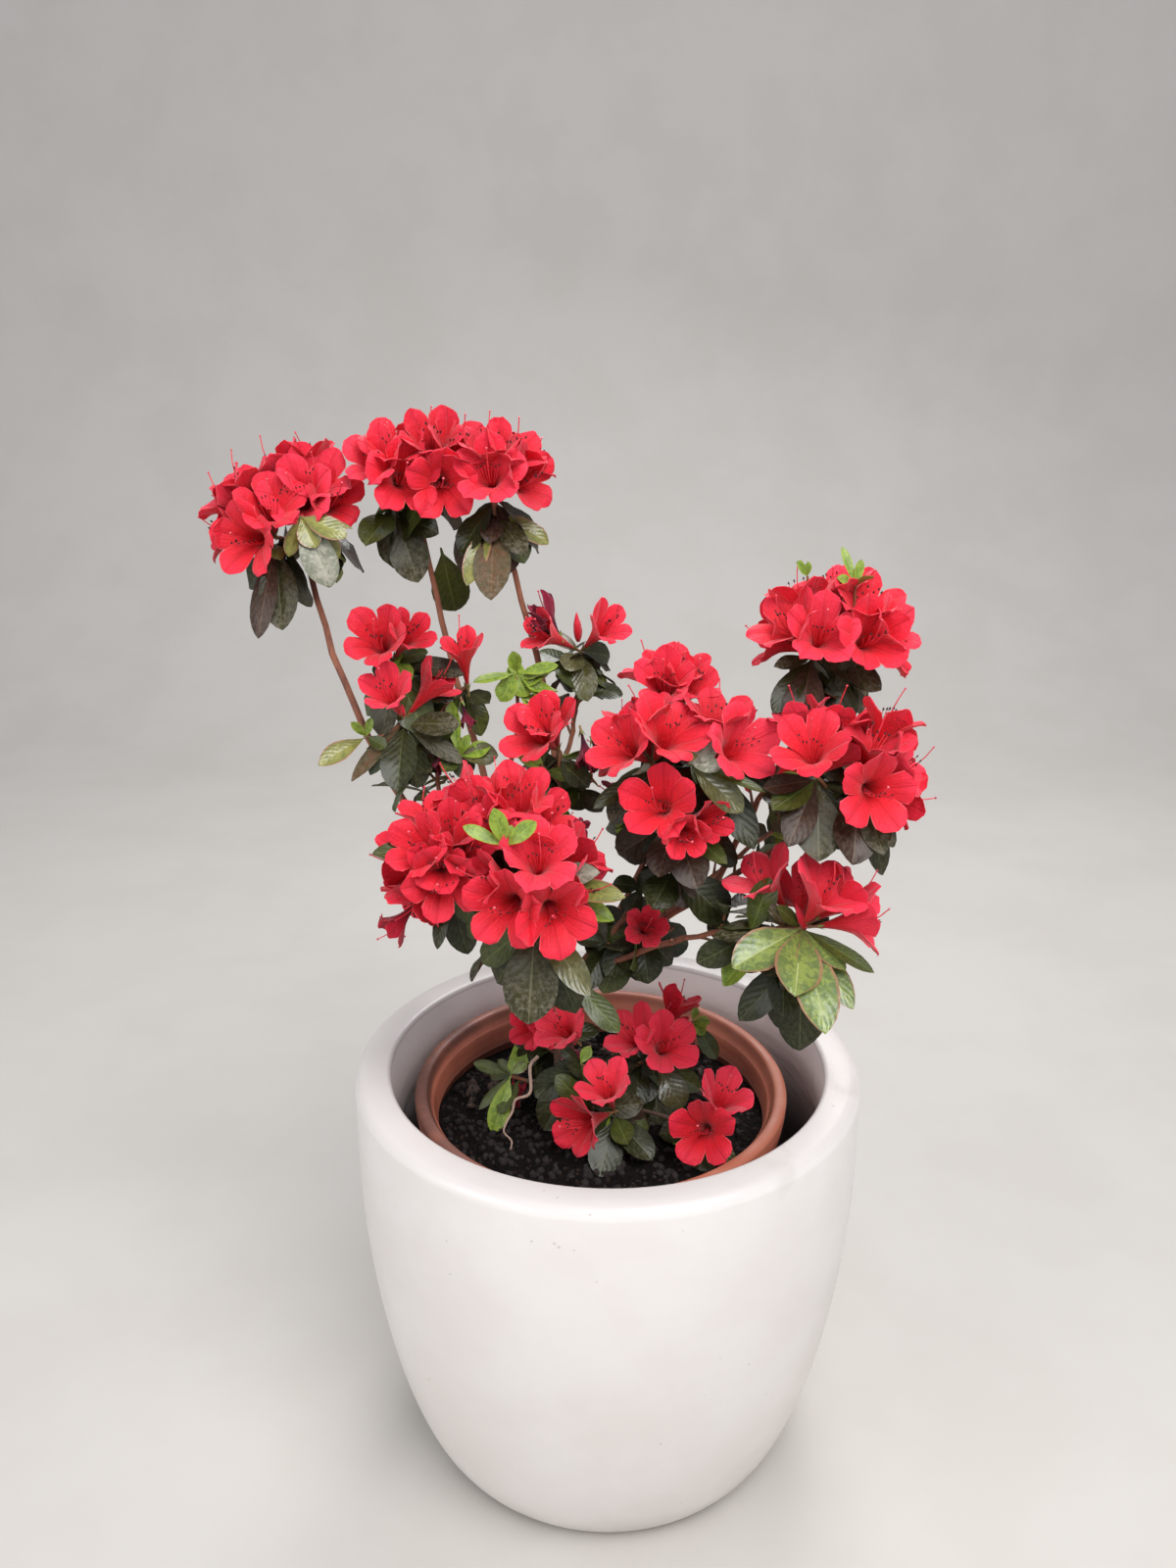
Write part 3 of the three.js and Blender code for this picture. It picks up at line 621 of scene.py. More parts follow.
# %% Scatter the crumbs
def soil_patch(name, keep):
    """A copy of the soil's top, as far as its face middles pass the test, in millimetres."""
    faces = [p.vertices[:] for p in soil_body.data.polygons
             if p.normal.z > 0.3 and keep(p.center.x / MM, p.center.y / MM)]
    mesh = bpy.data.meshes.new(name)
    mesh.from_pydata([v.co for v in soil_body.data.vertices], [], faces)
    return bpy.data.objects.new(name, mesh)


crumb_look = plain_look("soil_crumbs", "261d1a", "110c0b", 260.0, 0.9, 0.9, (0.6, 0.0008))
chip_look = plain_look("bark_chips", "54423a", "2c211b", 260.0, 0.9, 0.9, (0.6, 0.0008))
clear_edge = pot_inside(LEVEL) - 6
whole_top = soil_patch("top", lambda x, y: from_middle(x, y) < clear_edge)
back_of_top = soil_patch("back", lambda x, y: y > 8 and from_middle(x, y) < clear_edge - 6)
fine = made_by(crumbs, whole_top, "soil_crumbs", {
    "Crumbs": 30000.0, "Smallest": 0.0009, "Largest": 0.0034, "Flatness": 0.75,
    "Roughness": 0.002, "Seed": 3, "Material": crumb_look})
chips = made_by(crumbs, back_of_top, "bark_chips", {
    "Crumbs": 14000.0, "Smallest": 0.002, "Largest": 0.0058, "Flatness": 0.4,
    "Roughness": 0.0022, "Seed": 8, "Material": chip_look})

# %% [markdown]
# ## How the plant grows
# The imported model's masses were grown by a rule, and the same rule is written again here so that
# every limb and head lies where the model has it. A trunk gives off a bough for each mass. Each
# bough ends in a fork, from which shoots run to their heads. A head faces one way, and carries a
# truss of blooms with a whorl of leaves under it. All lengths are in millimetres.

# %% The limbs and heads
TRUNK = {"foot": (-22, 12, 216), "top": (-28, 1, 312), "bow": (-2, -1, 0), "radii": (7.5, 4.6)}
# Each mass: the limb that its bough leaves, how far along, the bough's bow and radius, the fork,
# the way its stem points, how open its blooms are, its leaves' size, and its shoots. A shoot is
# its head, the way it faces, and how many blooms and leaves it has.
MASSES = {
    "far_left": ("trunk", 0.78, (-22, 2, -4), 3.2, (-170, 35, 552), (-0.3, 0.1, 0.95), 0.8, 1, [
        ((-182, 24, 562), (-0.55, -0.5, 0.65), 4, 5), ((-164, 38, 572), (0.05, -0.1, 1), 5, 6)]),
    "top_left": ("trunk", 0.86, (-8, 18, -6), 3, (-105, 40, 572), (-0.1, 0, 1), 0.85, 1, [
        ((-119, 40, 588), (-0.5, -0.15, 0.85), 4, 5), ((-94, 40, 592), (0.25, -0.1, 0.95), 4, 4)]),
    "top_right": ("trunk", 0.94, (14, 20, -4), 3, None, (0, 0, 1), 0.85, 1, [
        ((-63, 35, 584), (0.15, -0.35, 0.9), 6, 7)]),
    "left": ("far_left", 0.3, (0, -8, 0), 2.2, (-99, -8, 455), (-0.3, -0.2, 0.9), 0.65, 1, [
        ((-117, -5, 499), (-0.3, -0.5, 0.8), 2, 4), ((-111, -15, 469), (-0.1, -0.35, 0.9), 2, 7),
        ((-78, 6, 483), (0.1, -0.2, 0.95), 1, 3)]),
    "centre_back": ("top_right", 0.45, (4, 0, -4), 1.9, None, (0.2, 0, 1), 0.5, 0.8, [
        ((-16, 40, 495), (0, -0.1, 1), 2, 6)]),
    "young_shoot": ("top_left", 0.42, (4, 0, -4), 1.7, None, (0, -0.1, 1), 0, 0.62, [
        ((-51, 10, 487), (0.1, -0.4, 0.9), 0, 7)]),
    "centre": ("trunk", 0.97, (0, 2, 0), 2, None, (0, 0, 1), 0.75, 0.8, [
        ((-27, -16, 452), (-0.4, -0.3, 0.85), 1, 6)]),
    "middle": ("trunk", 0.9, (6, 4, -8), 2.9, (26, -18, 402), (0.1, -0.2, 0.95), 0.95, 1, [
        ((33, -8, 468), (0, 0.1, 1), 2, 3), ((22, -40, 452), (-0.35, -0.5, 0.8), 3, 5),
        ((34, -45, 424), (-0.1, -0.95, 0.2), 3, 5), ((52, -38, 452), (0.5, -0.5, 0.7), 3, 8)]),
    "right": ("trunk", 0.95, (2, 4, -4), 2.9, (114, -50, 432), (0.5, -0.1, 0.8), 0.95, 1, [
        ((106, -55, 450), (-0.25, -0.4, 0.9), 4, 6), ((128, -56, 446), (0.5, -0.4, 0.75), 4, 6)]),
    "right_top": ("right", 0.62, (-2, 14, -6), 2.3, (117, -14, 494), (0.1, 0, 1), 0.9, 1, [
        ((107, -16, 506), (-0.35, -0.35, 0.85), 4, 5), ((128, -14, 507), (0.4, -0.25, 0.9), 4, 4)]),
    "low_right": ("trunk", 0.84, (0, 0, 12), 2.5, None, (0.9, -0.3, 0.25), 0.85, 1.12, [
        ((99, -75, 374), (0.3, -0.1, 0.95), 4, 9)]),
    "front": ("trunk", 0.8, (-4, -4, -6), 2.9, (-50, -48, 378), (-0.2, -0.6, 0.8), 0.95, 1, [
        ((-84, -70, 408), (-0.6, -0.5, 0.6), 6, 6), ((-38, -86, 404), (0.1, -0.8, 0.5), 6, 8),
        ((-49, -54, 417), (-0.1, -0.3, 0.95), 4, 5), ((-97, -74, 391), (-0.7, -0.1, -0.7), 1, 0)]),
    "inner_low": ("trunk", 0.72, (0, 0, 6), 1.9, None, (0.9, -0.3, 0.1), 0.7, 1, [
        ((19, -8, 340), (0, -0.8, 0.5), 2, 6)]),
    "back_left": ("trunk", 0.7, (-2, 6, -4), 2.6, (-64, 72, 338), (-0.4, 0.8, 0.4), 0.85, 1, [
        ((-88, 88, 350), (-0.6, 0.6, 0.5), 4, 5), ((-52, 98, 352), (0.1, 0.9, 0.4), 4, 5)]),
    "back": ("trunk", 0.88, (4, 6, -8), 2.8, (32, 66, 384), (0.2, 0.4, 0.8), 0.85, 1, [
        ((46, 88, 388), (0.4, 0.9, 0.1), 3, 5), ((30, 80, 420), (-0.2, 0.6, 0.8), 3, 5),
        ((60, 62, 422), (0.7, 0.2, 0.6), 3, 4)]),
    "back_right": ("right", 0.35, (0, 10, -4), 2.2, (126, 44, 408), (0.6, 0.4, 0.5), 0.85, 1, [
        ((142, 52, 420), (0.5, 0.5, 0.7), 4, 6), ((128, 62, 402), (0.2, 0.95, 0), 3, 4)]),
    "pot_front": ("trunk", 0.1, (0, -4, 4), 1.8, None, (0.3, -0.6, 0.5), 0.8, 0.85, [
        ((4, -38, 241), (-0.2, -0.45, 0.85), 2, 7)]),
    "pot_right": ("trunk", 0.14, (0, -4, 2), 1.7, None, (0.8, -0.4, 0.3), 0.9, 0.8, [
        ((59, -40, 233), (0.2, -0.5, 0.8), 2, 4)]),
    "pot_middle": ("trunk", 0.26, (2, 0, -2), 1.8, None, (0.5, -0.3, 0.8), 0.85, 0.85, [
        ((29, 0, 255), (0, -0.5, 0.85), 3, 7)]),
    "pot_back": ("trunk", 0.3, (0, 2, -2), 1.8, None, (-0.3, 0.3, 0.8), 0.7, 0.85, [
        ((-38, 34, 254), (0.1, -0.5, 0.8), 3, 5)]),
    "pot_shoot": ("trunk", 0.14, (0, -4, 2), 1.5, None, (-0.8, -0.2, 0.4), 0, 0.75, [
        ((-58, -4, 244), (-0.5, -0.4, 0.7), 0, 6)]),
}


def route(start, end, bow, shares):
    """Points of a curve from one place to another, with its middle moved by bow."""
    start, end = np.asarray(start, float), np.asarray(end, float)
    middle = (start + end) / 2 + 2 * np.asarray(bow, float)
    t = np.atleast_1d(shares)[:, None]
    return (1 - t) ** 2 * start + 2 * t * (1 - t) * middle + t ** 2 * end


def fork_of(row):
    return np.asarray(row[4] or row[8][0][0], float)


def bough_tip(row):
    return fork_of(row) - 10 * unit(row[5])


def tip_radius(row):
    return max(row[3] * 0.6, 1.2)


def trunk_radius(along):
    first, last = TRUNK["radii"]
    return (first + (last - first) * along) * (1 + 0.45 * np.exp(-along / 0.07))


LIMBS = {"trunk": (TRUNK["foot"], TRUNK["top"], TRUNK["bow"], trunk_radius)}
for name, row in MASSES.items():
    start, end, bow, _ = LIMBS[row[0]]
    foot = route(start, end, bow, row[1])[0]
    girth = (lambda r, t: lambda along: r + (t - r) * along)(row[3], tip_radius(row))
    LIMBS[name] = (foot, bough_tip(row), row[2], girth)
print("limbs:", len(LIMBS), "heads:", sum(len(row[8]) for row in MASSES.values()))

# %% [markdown]
# ## Trunk and boughs
# Azalea wood is reddish brown: smooth and almost orange on the young shoots, greyer and cracked
# lengthwise on the trunk. Each limb follows a path and tapers, which suits Geometry Nodes: the
# script gives paths with a thickness at every point, and the tree sweeps a ring along them and
# raises the bark with noise. Skin modifiers or hand modelling would give less control of the taper.

# %% The limb tree
sweep, given, made = node_tree(
    "grow_limbs", {"Sides": "Int", "Relief": "Float", "Grain": "Float", "Material": "Material"})
curves = add(sweep, "GeometryNodeMeshToCurve", {"Mesh": given["Geometry"]})
thick = add(sweep, "GeometryNodeInputNamedAttribute", {"Name": "thickness"})
ring = add(sweep, "GeometryNodeCurvePrimitiveCircle", {"Resolution": given["Sides"], "Radius": 1.0})
swept = add(sweep, "GeometryNodeCurveToMesh", {
    "Curve": curves.outputs[0], "Profile Curve": ring.outputs[0], "Scale": thick.outputs[0],
    "Fill Caps": True})
rough = add(sweep, "ShaderNodeTexNoise", {"Scale": given["Grain"], "Detail": 2.0}).outputs["Fac"]
height = times(sweep, math_node(sweep, "SUBTRACT", rough, 0.5), given["Relief"])
outward = scaled_by(sweep, sweep.nodes.new("GeometryNodeInputNormal").outputs[0], height)
barked = add(sweep, "GeometryNodeSetPosition", {"Geometry": swept.outputs[0], "Offset": outward})
end_tree(sweep, barked.outputs[0], given["Material"], made)


# %% Paths with a thickness
def path_object(name, paths):
    """One object of separate edge paths. Each path is its points and radii, in millimetres."""
    points, edges, radii = [], [], []
    for path, widths in paths:
        first = len(points)
        points.extend(np.asarray(path) * MM)
        radii.extend(np.asarray(widths) * MM)
        edges.extend((first + i, first + i + 1) for i in range(len(path) - 1))
    mesh = bpy.data.meshes.new(name)
    mesh.from_pydata(points, edges, [])
    mesh.attributes.new("thickness", "FLOAT", "POINT").data.foreach_set("value", radii)
    return bpy.data.objects.new(name, mesh)


wobble = np.random.default_rng(21)


def knotty(path, reach):
    """A path whose inner points are moved a little, as a limb that has changed course does."""
    path = np.array(path)
    path[1:-1] += wobble.normal(0, reach, (len(path) - 2, 3))
    return path


limb_paths = []
for name, (start, end, bow, girth) in LIMBS.items():
    shares = np.linspace(0, 1, 24 if name == "trunk" else 18)
    path, widths = knotty(route(start, end, bow, shares), 0.35), girth(shares)
    if name == "trunk":
        path = np.vstack([[TRUNK["foot"][0] + 0.4, TRUNK["foot"][1], LEVEL - 7], path])
        widths = np.concatenate([[widths[0] * 1.15], widths])
    else:
        widths = 0.86 * widths * (1 + 0.5 * np.exp(-shares / 0.03))  # a collar at its foot
    limb_paths.append((path, widths))

# %% The bark
bark, shader, tree = new_material("bark", 0.72)
place, axes = places(tree)
cracks = noise(tree, stretched(tree, place, (320, 320, 60)), 1.0, 5.0, Roughness=0.7)
base = mottled(tree, "86503c", "a1674c", 0.8, 70.0)["Colour"]
base = tint(tree, base, "5b4338", ramp(tree, axes["Z"], 0.33, 0.24))
base = tint(tree, base, "3a2721", ramp(tree, cracks, 0.48, 0.62), 0.55)
dress(tree, shader, base, ramp(tree, cracks, 0.3, 0.7, 0.8, 0.55), bump(tree, cracks, 0.6, 0.0006))
limbs = made_by(sweep, path_object("limbs", limb_paths), "trunk_and_boughs",
                {"Sides": 12, "Relief": 0.0009, "Grain": 180.0, "Material": bark})

# %% [markdown]
# ## Placing blooms and leaves
# Each mass keeps to its own space: a ball round each head, cut flat towards the other masses' balls.
# The blooms that the photograph shows well are set first, at their places in it. The rest fill in
# round them: each is tried in a few places, and kept in the first that stays in the space, clear of
# limbs and pots, and not too close to the blooms before it.

# %% The spaces
SPACES = [(name, np.asarray(head, float) + (12 if blooms else 0) * unit(facing),
           min(24 + 5 * blooms, 42) if blooms else 36 * row[7])
          for name, row in MASSES.items() for head, facing, blooms, _ in row[8]]
CENTRES = np.array([s[1] for s in SPACES])
REACHES = np.array([s[2] for s in SPACES]) ** 2
OWNERS = np.array([s[0] for s in SPACES])
LENGTHS = [route(start, end, bow, np.linspace(0, 1, 11)) for start, end, bow, _ in LIMBS.values()]
LIMB_A, LIMB_B = np.concatenate([p[:-1] for p in LENGTHS]), np.concatenate([p[1:] for p in LENGTHS])
LIMB_R = np.concatenate([limb[3](np.linspace(0, 0.9, 10)) * np.ones(10) for limb in LIMBS.values()])


def in_own_space(name, points, border):
    """Whether points lie in a mass's space, by at least a border in square millimetres."""
    powers = ((points[:, None] - CENTRES) ** 2).sum(2) - REACHES
    mine = OWNERS == name
    return (powers[:, mine].min(1) + border < powers[:, ~mine].min(1)).all()


def clear_of_limbs(points, gap):
    """Whether points keep a gap from every limb."""
    along = LIMB_B - LIMB_A
    t = ((points[:, None] - LIMB_A) * along).sum(2) / (along ** 2).sum(1)
    nearest = LIMB_A + np.clip(t, 0, 1)[..., None] * along
    return (np.linalg.norm(points[:, None] - nearest, axis=2) > LIMB_R + gap).all()


def clear_of_pots(points):
    """Whether points lie above the soil and off the walls."""
    x, y, z = points.T
    inside = np.hypot(x - POT_X, y) < pot_inside(z) - 3
    return ((z > LEVEL + DOME + 1.5) & (inside | (z > HEIGHT + 1.5))).all()


def draws(seed):
    """The imported model's seeded row of numbers from 0 to 1."""
    state = seed

    def draw(low, high):
        nonlocal state
        state = (state + 0x6D2B79F5) & 0xFFFFFFFF
        mixed = ((state ^ (state >> 15)) * (state | 1)) & 0xFFFFFFFF
        mixed ^= (mixed + (((mixed ^ (mixed >> 7)) * (mixed | 61)) & 0xFFFFFFFF)) & 0xFFFFFFFF
        return low + (high - low) * ((mixed ^ (mixed >> 14)) / 4294967296)

    return draw


def tilted(axis, tilt, turn):
    """A direction tilted away from an axis, by two angles in degrees."""
    side = np.cross((0, 0, 1), axis)
    side = unit(side) if np.linalg.norm(side) > 0.01 else np.array((1.0, 0, 0))
    upright = np.cross(axis, side)
    tilt, turn = math.radians(tilt), math.radians(turn)
    return math.cos(tilt) * axis + math.sin(tilt) * (math.cos(turn) * side + math.sin(turn) * upright)


def basis(direction, face):
    """Columns that take X across, Y towards face and Z along the direction."""
    side = unit(np.cross(face, direction))
    return np.stack([side, np.cross(direction, side), direction], 1)


# %% Grow the trusses
SPREAD = (8, 42, 52, 60, 68, 75, 80, 84)  # widest tilt of a head's blooms, by their number
FULLER = 1.8  # blooms to a head, over the number that the solids have
# The blooms that the photograph shows: at each mass, for each of its shoots, the place of a bloom's
# mouth in the photograph, how open it is and, where it faces the camera more than that makes it, how
# far it is turned towards it and by how many degrees it is rolled.
MOUTHS_SEEN = {
    ("far_left", 0): [(245, 552, 0.95), (218, 537, 0.8), (222, 500, 0.8),
                      (275, 508, 0.9), (242, 484, 0.75)],
    ("far_left", 1): [(300, 500, 0.9), (322, 480, 0.85), (343, 507, 0.75),
                      (308, 456, 0.8), (274, 468, 0.8)],
    ("top_left", 0): [(414, 484, 0.9), (378, 462, 0.8), (400, 447, 0.8)],
    ("top_left", 1): [(440, 437, 0.8), (470, 445, 0.8), (452, 495, 0.85)],
    ("top_right", 0): [(498, 476, 0.95), (546, 486, 0.9), (527, 450, 0.8),
                       (548, 462, 0.8), (500, 446, 0.7)],
    ("left", 0): [(382, 646, 0.78), (420, 642, 0.45)],
    ("left", 1): [(392, 700, 0.5), (450, 690, 0.5, 0.0, 36)],
    ("left", 2): [(471, 655, 0.4, -0.25)],
    ("centre_back", 0): [(623, 634, 0.5), (549, 642, 0.4)],
    ("centre", 0): [(540, 742, 0.85), (560, 728, 0.7)],
    ("middle", 0): [(690, 676, 0.85, 0.4), (660, 674, 0.8), (710, 690, 0.7), (678, 690, 0.7, 0.5)],
    ("middle", 1): [(688, 738, 1.0), (628, 756, 0.8)],
    ("middle", 2): [(670, 818, 0.95, 0.5), (700, 855, 0.4), (728, 838, 0.35)],
    ("middle", 3): [(763, 757, 0.95), (734, 718, 0.8)],
    ("right", 0): [(826, 754, 0.9), (812, 722, 0.7), (856, 722, 0.8)],
    ("right", 1): [(898, 810, 1.0), (934, 778, 0.85), (896, 746, 0.9), (912, 724, 0.7)],
    ("right_top", 0): [(797, 628, 0.9), (842, 640, 0.95), (815, 596, 0.85)],
    ("right_top", 1): [(894, 647, 0.9), (851, 588, 0.9, 0.3), (888, 605, 0.8, 0.2), (920, 634, 0.7)],
    ("low_right", 0): [(771, 886, 0.9, 0.5, 18), (850, 900, 0.95), (880, 908, 0.85), (894, 938, 0.85)],
    ("front", 0): [(432, 820, 0.7, 0.3), (424, 862, 0.65), (452, 905, 0.85), (478, 866, 0.6),
                   (463, 840, 0.6), (446, 882, 0.55)],
    ("front", 1): [(512, 930, 1.0, 0.7), (568, 938, 1.0, 0.9, 36), (552, 868, 0.95), (604, 862, 0.7),
                   (490, 895, 0.5)],
    ("front", 2): [(484, 815, 0.7), (530, 803, 0.85), (568, 828, 0.8), (463, 798, 0.5), (510, 796, 0.5),
                   (500, 838, 0.6, 0.3)],
    ("inner_low", 0): [(660, 945, 0.45)],
    ("pot_front", 0): [(583, 1150, 0.8), (615, 1102, 0.7)],
    ("pot_right", 0): [(716, 1155, 0.85), (741, 1112, 0.7)],
    ("pot_middle", 0): [(642, 1050, 0.8), (683, 1062, 0.9), (694, 1015, 0.6)],
    ("pot_back", 0): [(568, 1043, 0.75), (540, 1048, 0.5)],
}
# Blooms set by their feet and not on a head, most of them withered: the foot's place and its y, the
# mouth's place, the length, the radius and the look.
LOOSE_BLOOMS = [
    ((574, 654, 30), (553, 616), 25, 9, "withered"),
    ((566, 650, 30), (548, 636), 16, 6, "withered"),
    ((592, 742, -12), (600, 778), 22, 8, "withered"),
    ((603, 752, -6), (612, 778), 16, 6, "withered"),
    ((470, 712, 0), (478, 740), 16, 5, "withered"),
    ((448, 750, -12), (453, 780), 17, 7, "withered"),
    ((572, 832, -52), (592, 850), 16, 8, "withered"),
    ((602, 1068, 10), (580, 1080), 18, 9, "withered"),
    ((640, 812, -30), (618, 806), 15, 6, "withered"),
    ((532, 1143, -2), (524, 1108), 24, 8, "deep"),
    ((592, 1066, -18), (568, 1042), 32, 17, "bright"),
]
GOLDEN = math.degrees(math.pi * (3 - math.sqrt(5)))
BLOOM_LENGTH, BLOOM_RADIUS = 37, 22
MOUTH_REACH = 33  # from a head to the middle of a bloom's mouth
WILTED, WILTED_MOUTH = ("front", 3), (388, 962)  # the bloom that hangs shrivelled at the left
twig_paths = []


def ring_points(offset, radius, height):
    """Five points of a ring round a bloom's axis."""
    angles = np.radians(np.arange(5) * 72 + offset)
    return np.stack([radius * np.cos(angles), radius * np.sin(angles), np.full(5, height)], 1)


def bloom_probes(length, radius):
    """Points round a bloom by which its room is tested."""
    rings = ((0, 0.3 * radius + 0.8, 0.55), (0, radius, 1), (36, radius * 0.8, 0.95),
             (36, radius * 0.55, 0.85))
    return np.concatenate([ring_points(offset, wide, share * length) for offset, wide, share in rings]
                          + [[[0, 0, length]]])


def has_room(name, points, border, gap=1.5):
    return in_own_space(name, points, border) and clear_of_limbs(points, gap) and clear_of_pots(points)


def rolled(face, way, angle):
    """A direction turned about a way, by an angle in radians."""
    return face * math.cos(angle) + np.cross(way, face) * math.sin(angle)


def top_side(way, axis):
    """Where a bloom's top petal is: upwards, or at the back of a bloom that faces the sky."""
    if abs(way[2]) < 0.9:
        return np.array((0, 0, 1.0))
    return np.array((0, 1.0, 0)) * (1 if way[1] < 0 else -1) + axis * 0.3


def square_to(way, top):
    return unit(top - way * (top @ way))


def seated(head, seen, way, face, top, size, toward):
    """The foot, way and face of a bloom seen in the photograph: moved out to its line of sight,
    and turned and rolled as its row says."""
    across, down, _, *turned_to = seen
    reach = MOUTH_REACH * size
    place = head - 0.5 * way + way * min(max(reach_of(head, across, down) - reach, 0), 22)
    if turned_to:
        mouth = place + way * reach
        way = unit(way + turned_to[0] * toward)
        place = mouth - way * reach
        face = rolled(square_to(way, top), way, math.radians(sum(turned_to[1:])))
    return place, way, face


def grow_blooms(name, row, number, shoot, mouths, draw):
    """The blooms of one head, each with its place, its turn, its size and its look."""
    head, facing, count, _ = shoot
    axis, head = unit(facing), np.asarray(head, float)
    toward, held = unit(EYE - head), MOUTHS_SEEN.get((name, number), [])
    wilted = (name, number) == WILTED
    total = max(round(count * (FULLER if count > 2 else 1)), len(held))
    spread, start, blooms = SPREAD[min(total, len(SPREAD)) - 1], draw(0, 360), []
    for i in range(total):
        share = math.sqrt((i + 0.35) / max(total - 0.4, 0.6))
        for attempt in range(20):
            strain = attempt / 20
            loose = 8 + 30 * strain
            tilt = spread * share * (1 - 0.4 * strain) + draw(-0.5, 0.5) * loose
            way = tilted(axis, tilt, start + GOLDEN * i + draw(-1, 1) * loose)
            opened = min(max(row[6] + draw(-0.15, 0.1), 0.1), 1)
            size = draw(0.9, 1.06) * (1 - 0.2 * strain)
            if i < len(held):
                opened, size = held[i][2], draw(0.94, 1.04)
                way = aimed(head, *held[i][:2], MOUTH_REACH * size)
            elif wilted:
                way, opened, size = aimed(head, *WILTED_MOUTH, 26), 0.5, 0.72
            elif held and way @ toward > 0.4:
                continue
            length = BLOOM_LENGTH * size * (1.08 - 0.12 * opened)
            radius = BLOOM_RADIUS * size * (0.3 + 0.7 * opened)
            top = top_side(way, axis)
            face = rolled(square_to(way, top), way, math.radians(draw(-25, 25)))
            place = head - 0.5 * way
            if i < len(held):
                place, way, face = seated(head, held[i], way, face, top, size, toward)
            matrix = basis(way, face)
            mouth = place + way * 0.9 * length
            crowd = 0.66 * (1 - 0.25 * strain)
            near = any(np.linalg.norm(mouth - m) < (radius + r) * crowd for m, r in mouths)
            probes = bloom_probes(length, radius) @ matrix.T + place
            if i >= len(held) and (near or not has_room(name, probes, 10)):
                continue
            if np.linalg.norm(place - head) > 2:
                stalk = route(head, place + 2 * way, (0, 0, 1), np.linspace(0, 1, 4))
                twig_paths.append((stalk, [0.9, 0.75, 0.75, 0.8]))
            mouths.append((mouth, radius))
            blooms.append({"place": place, "matrix": matrix, "length": length, "radius": radius,
                           "mass": name, "look": "deep" if wilted else None,
                           "ruffle": 2.6 if wilted else 1.0})
            break
    return blooms


# %% [markdown]
# The leaves that the photograph shows well are set one by one. A rosette is named by its mass, its
# shoot and how far it sits below the head. Each row holds the place of a leaf's tip in the
# photograph, its length and width in millimetres, its kind, and True where it points away. The
# tufts are young side shoots, each with the place and the y of its end and a twig of its own.

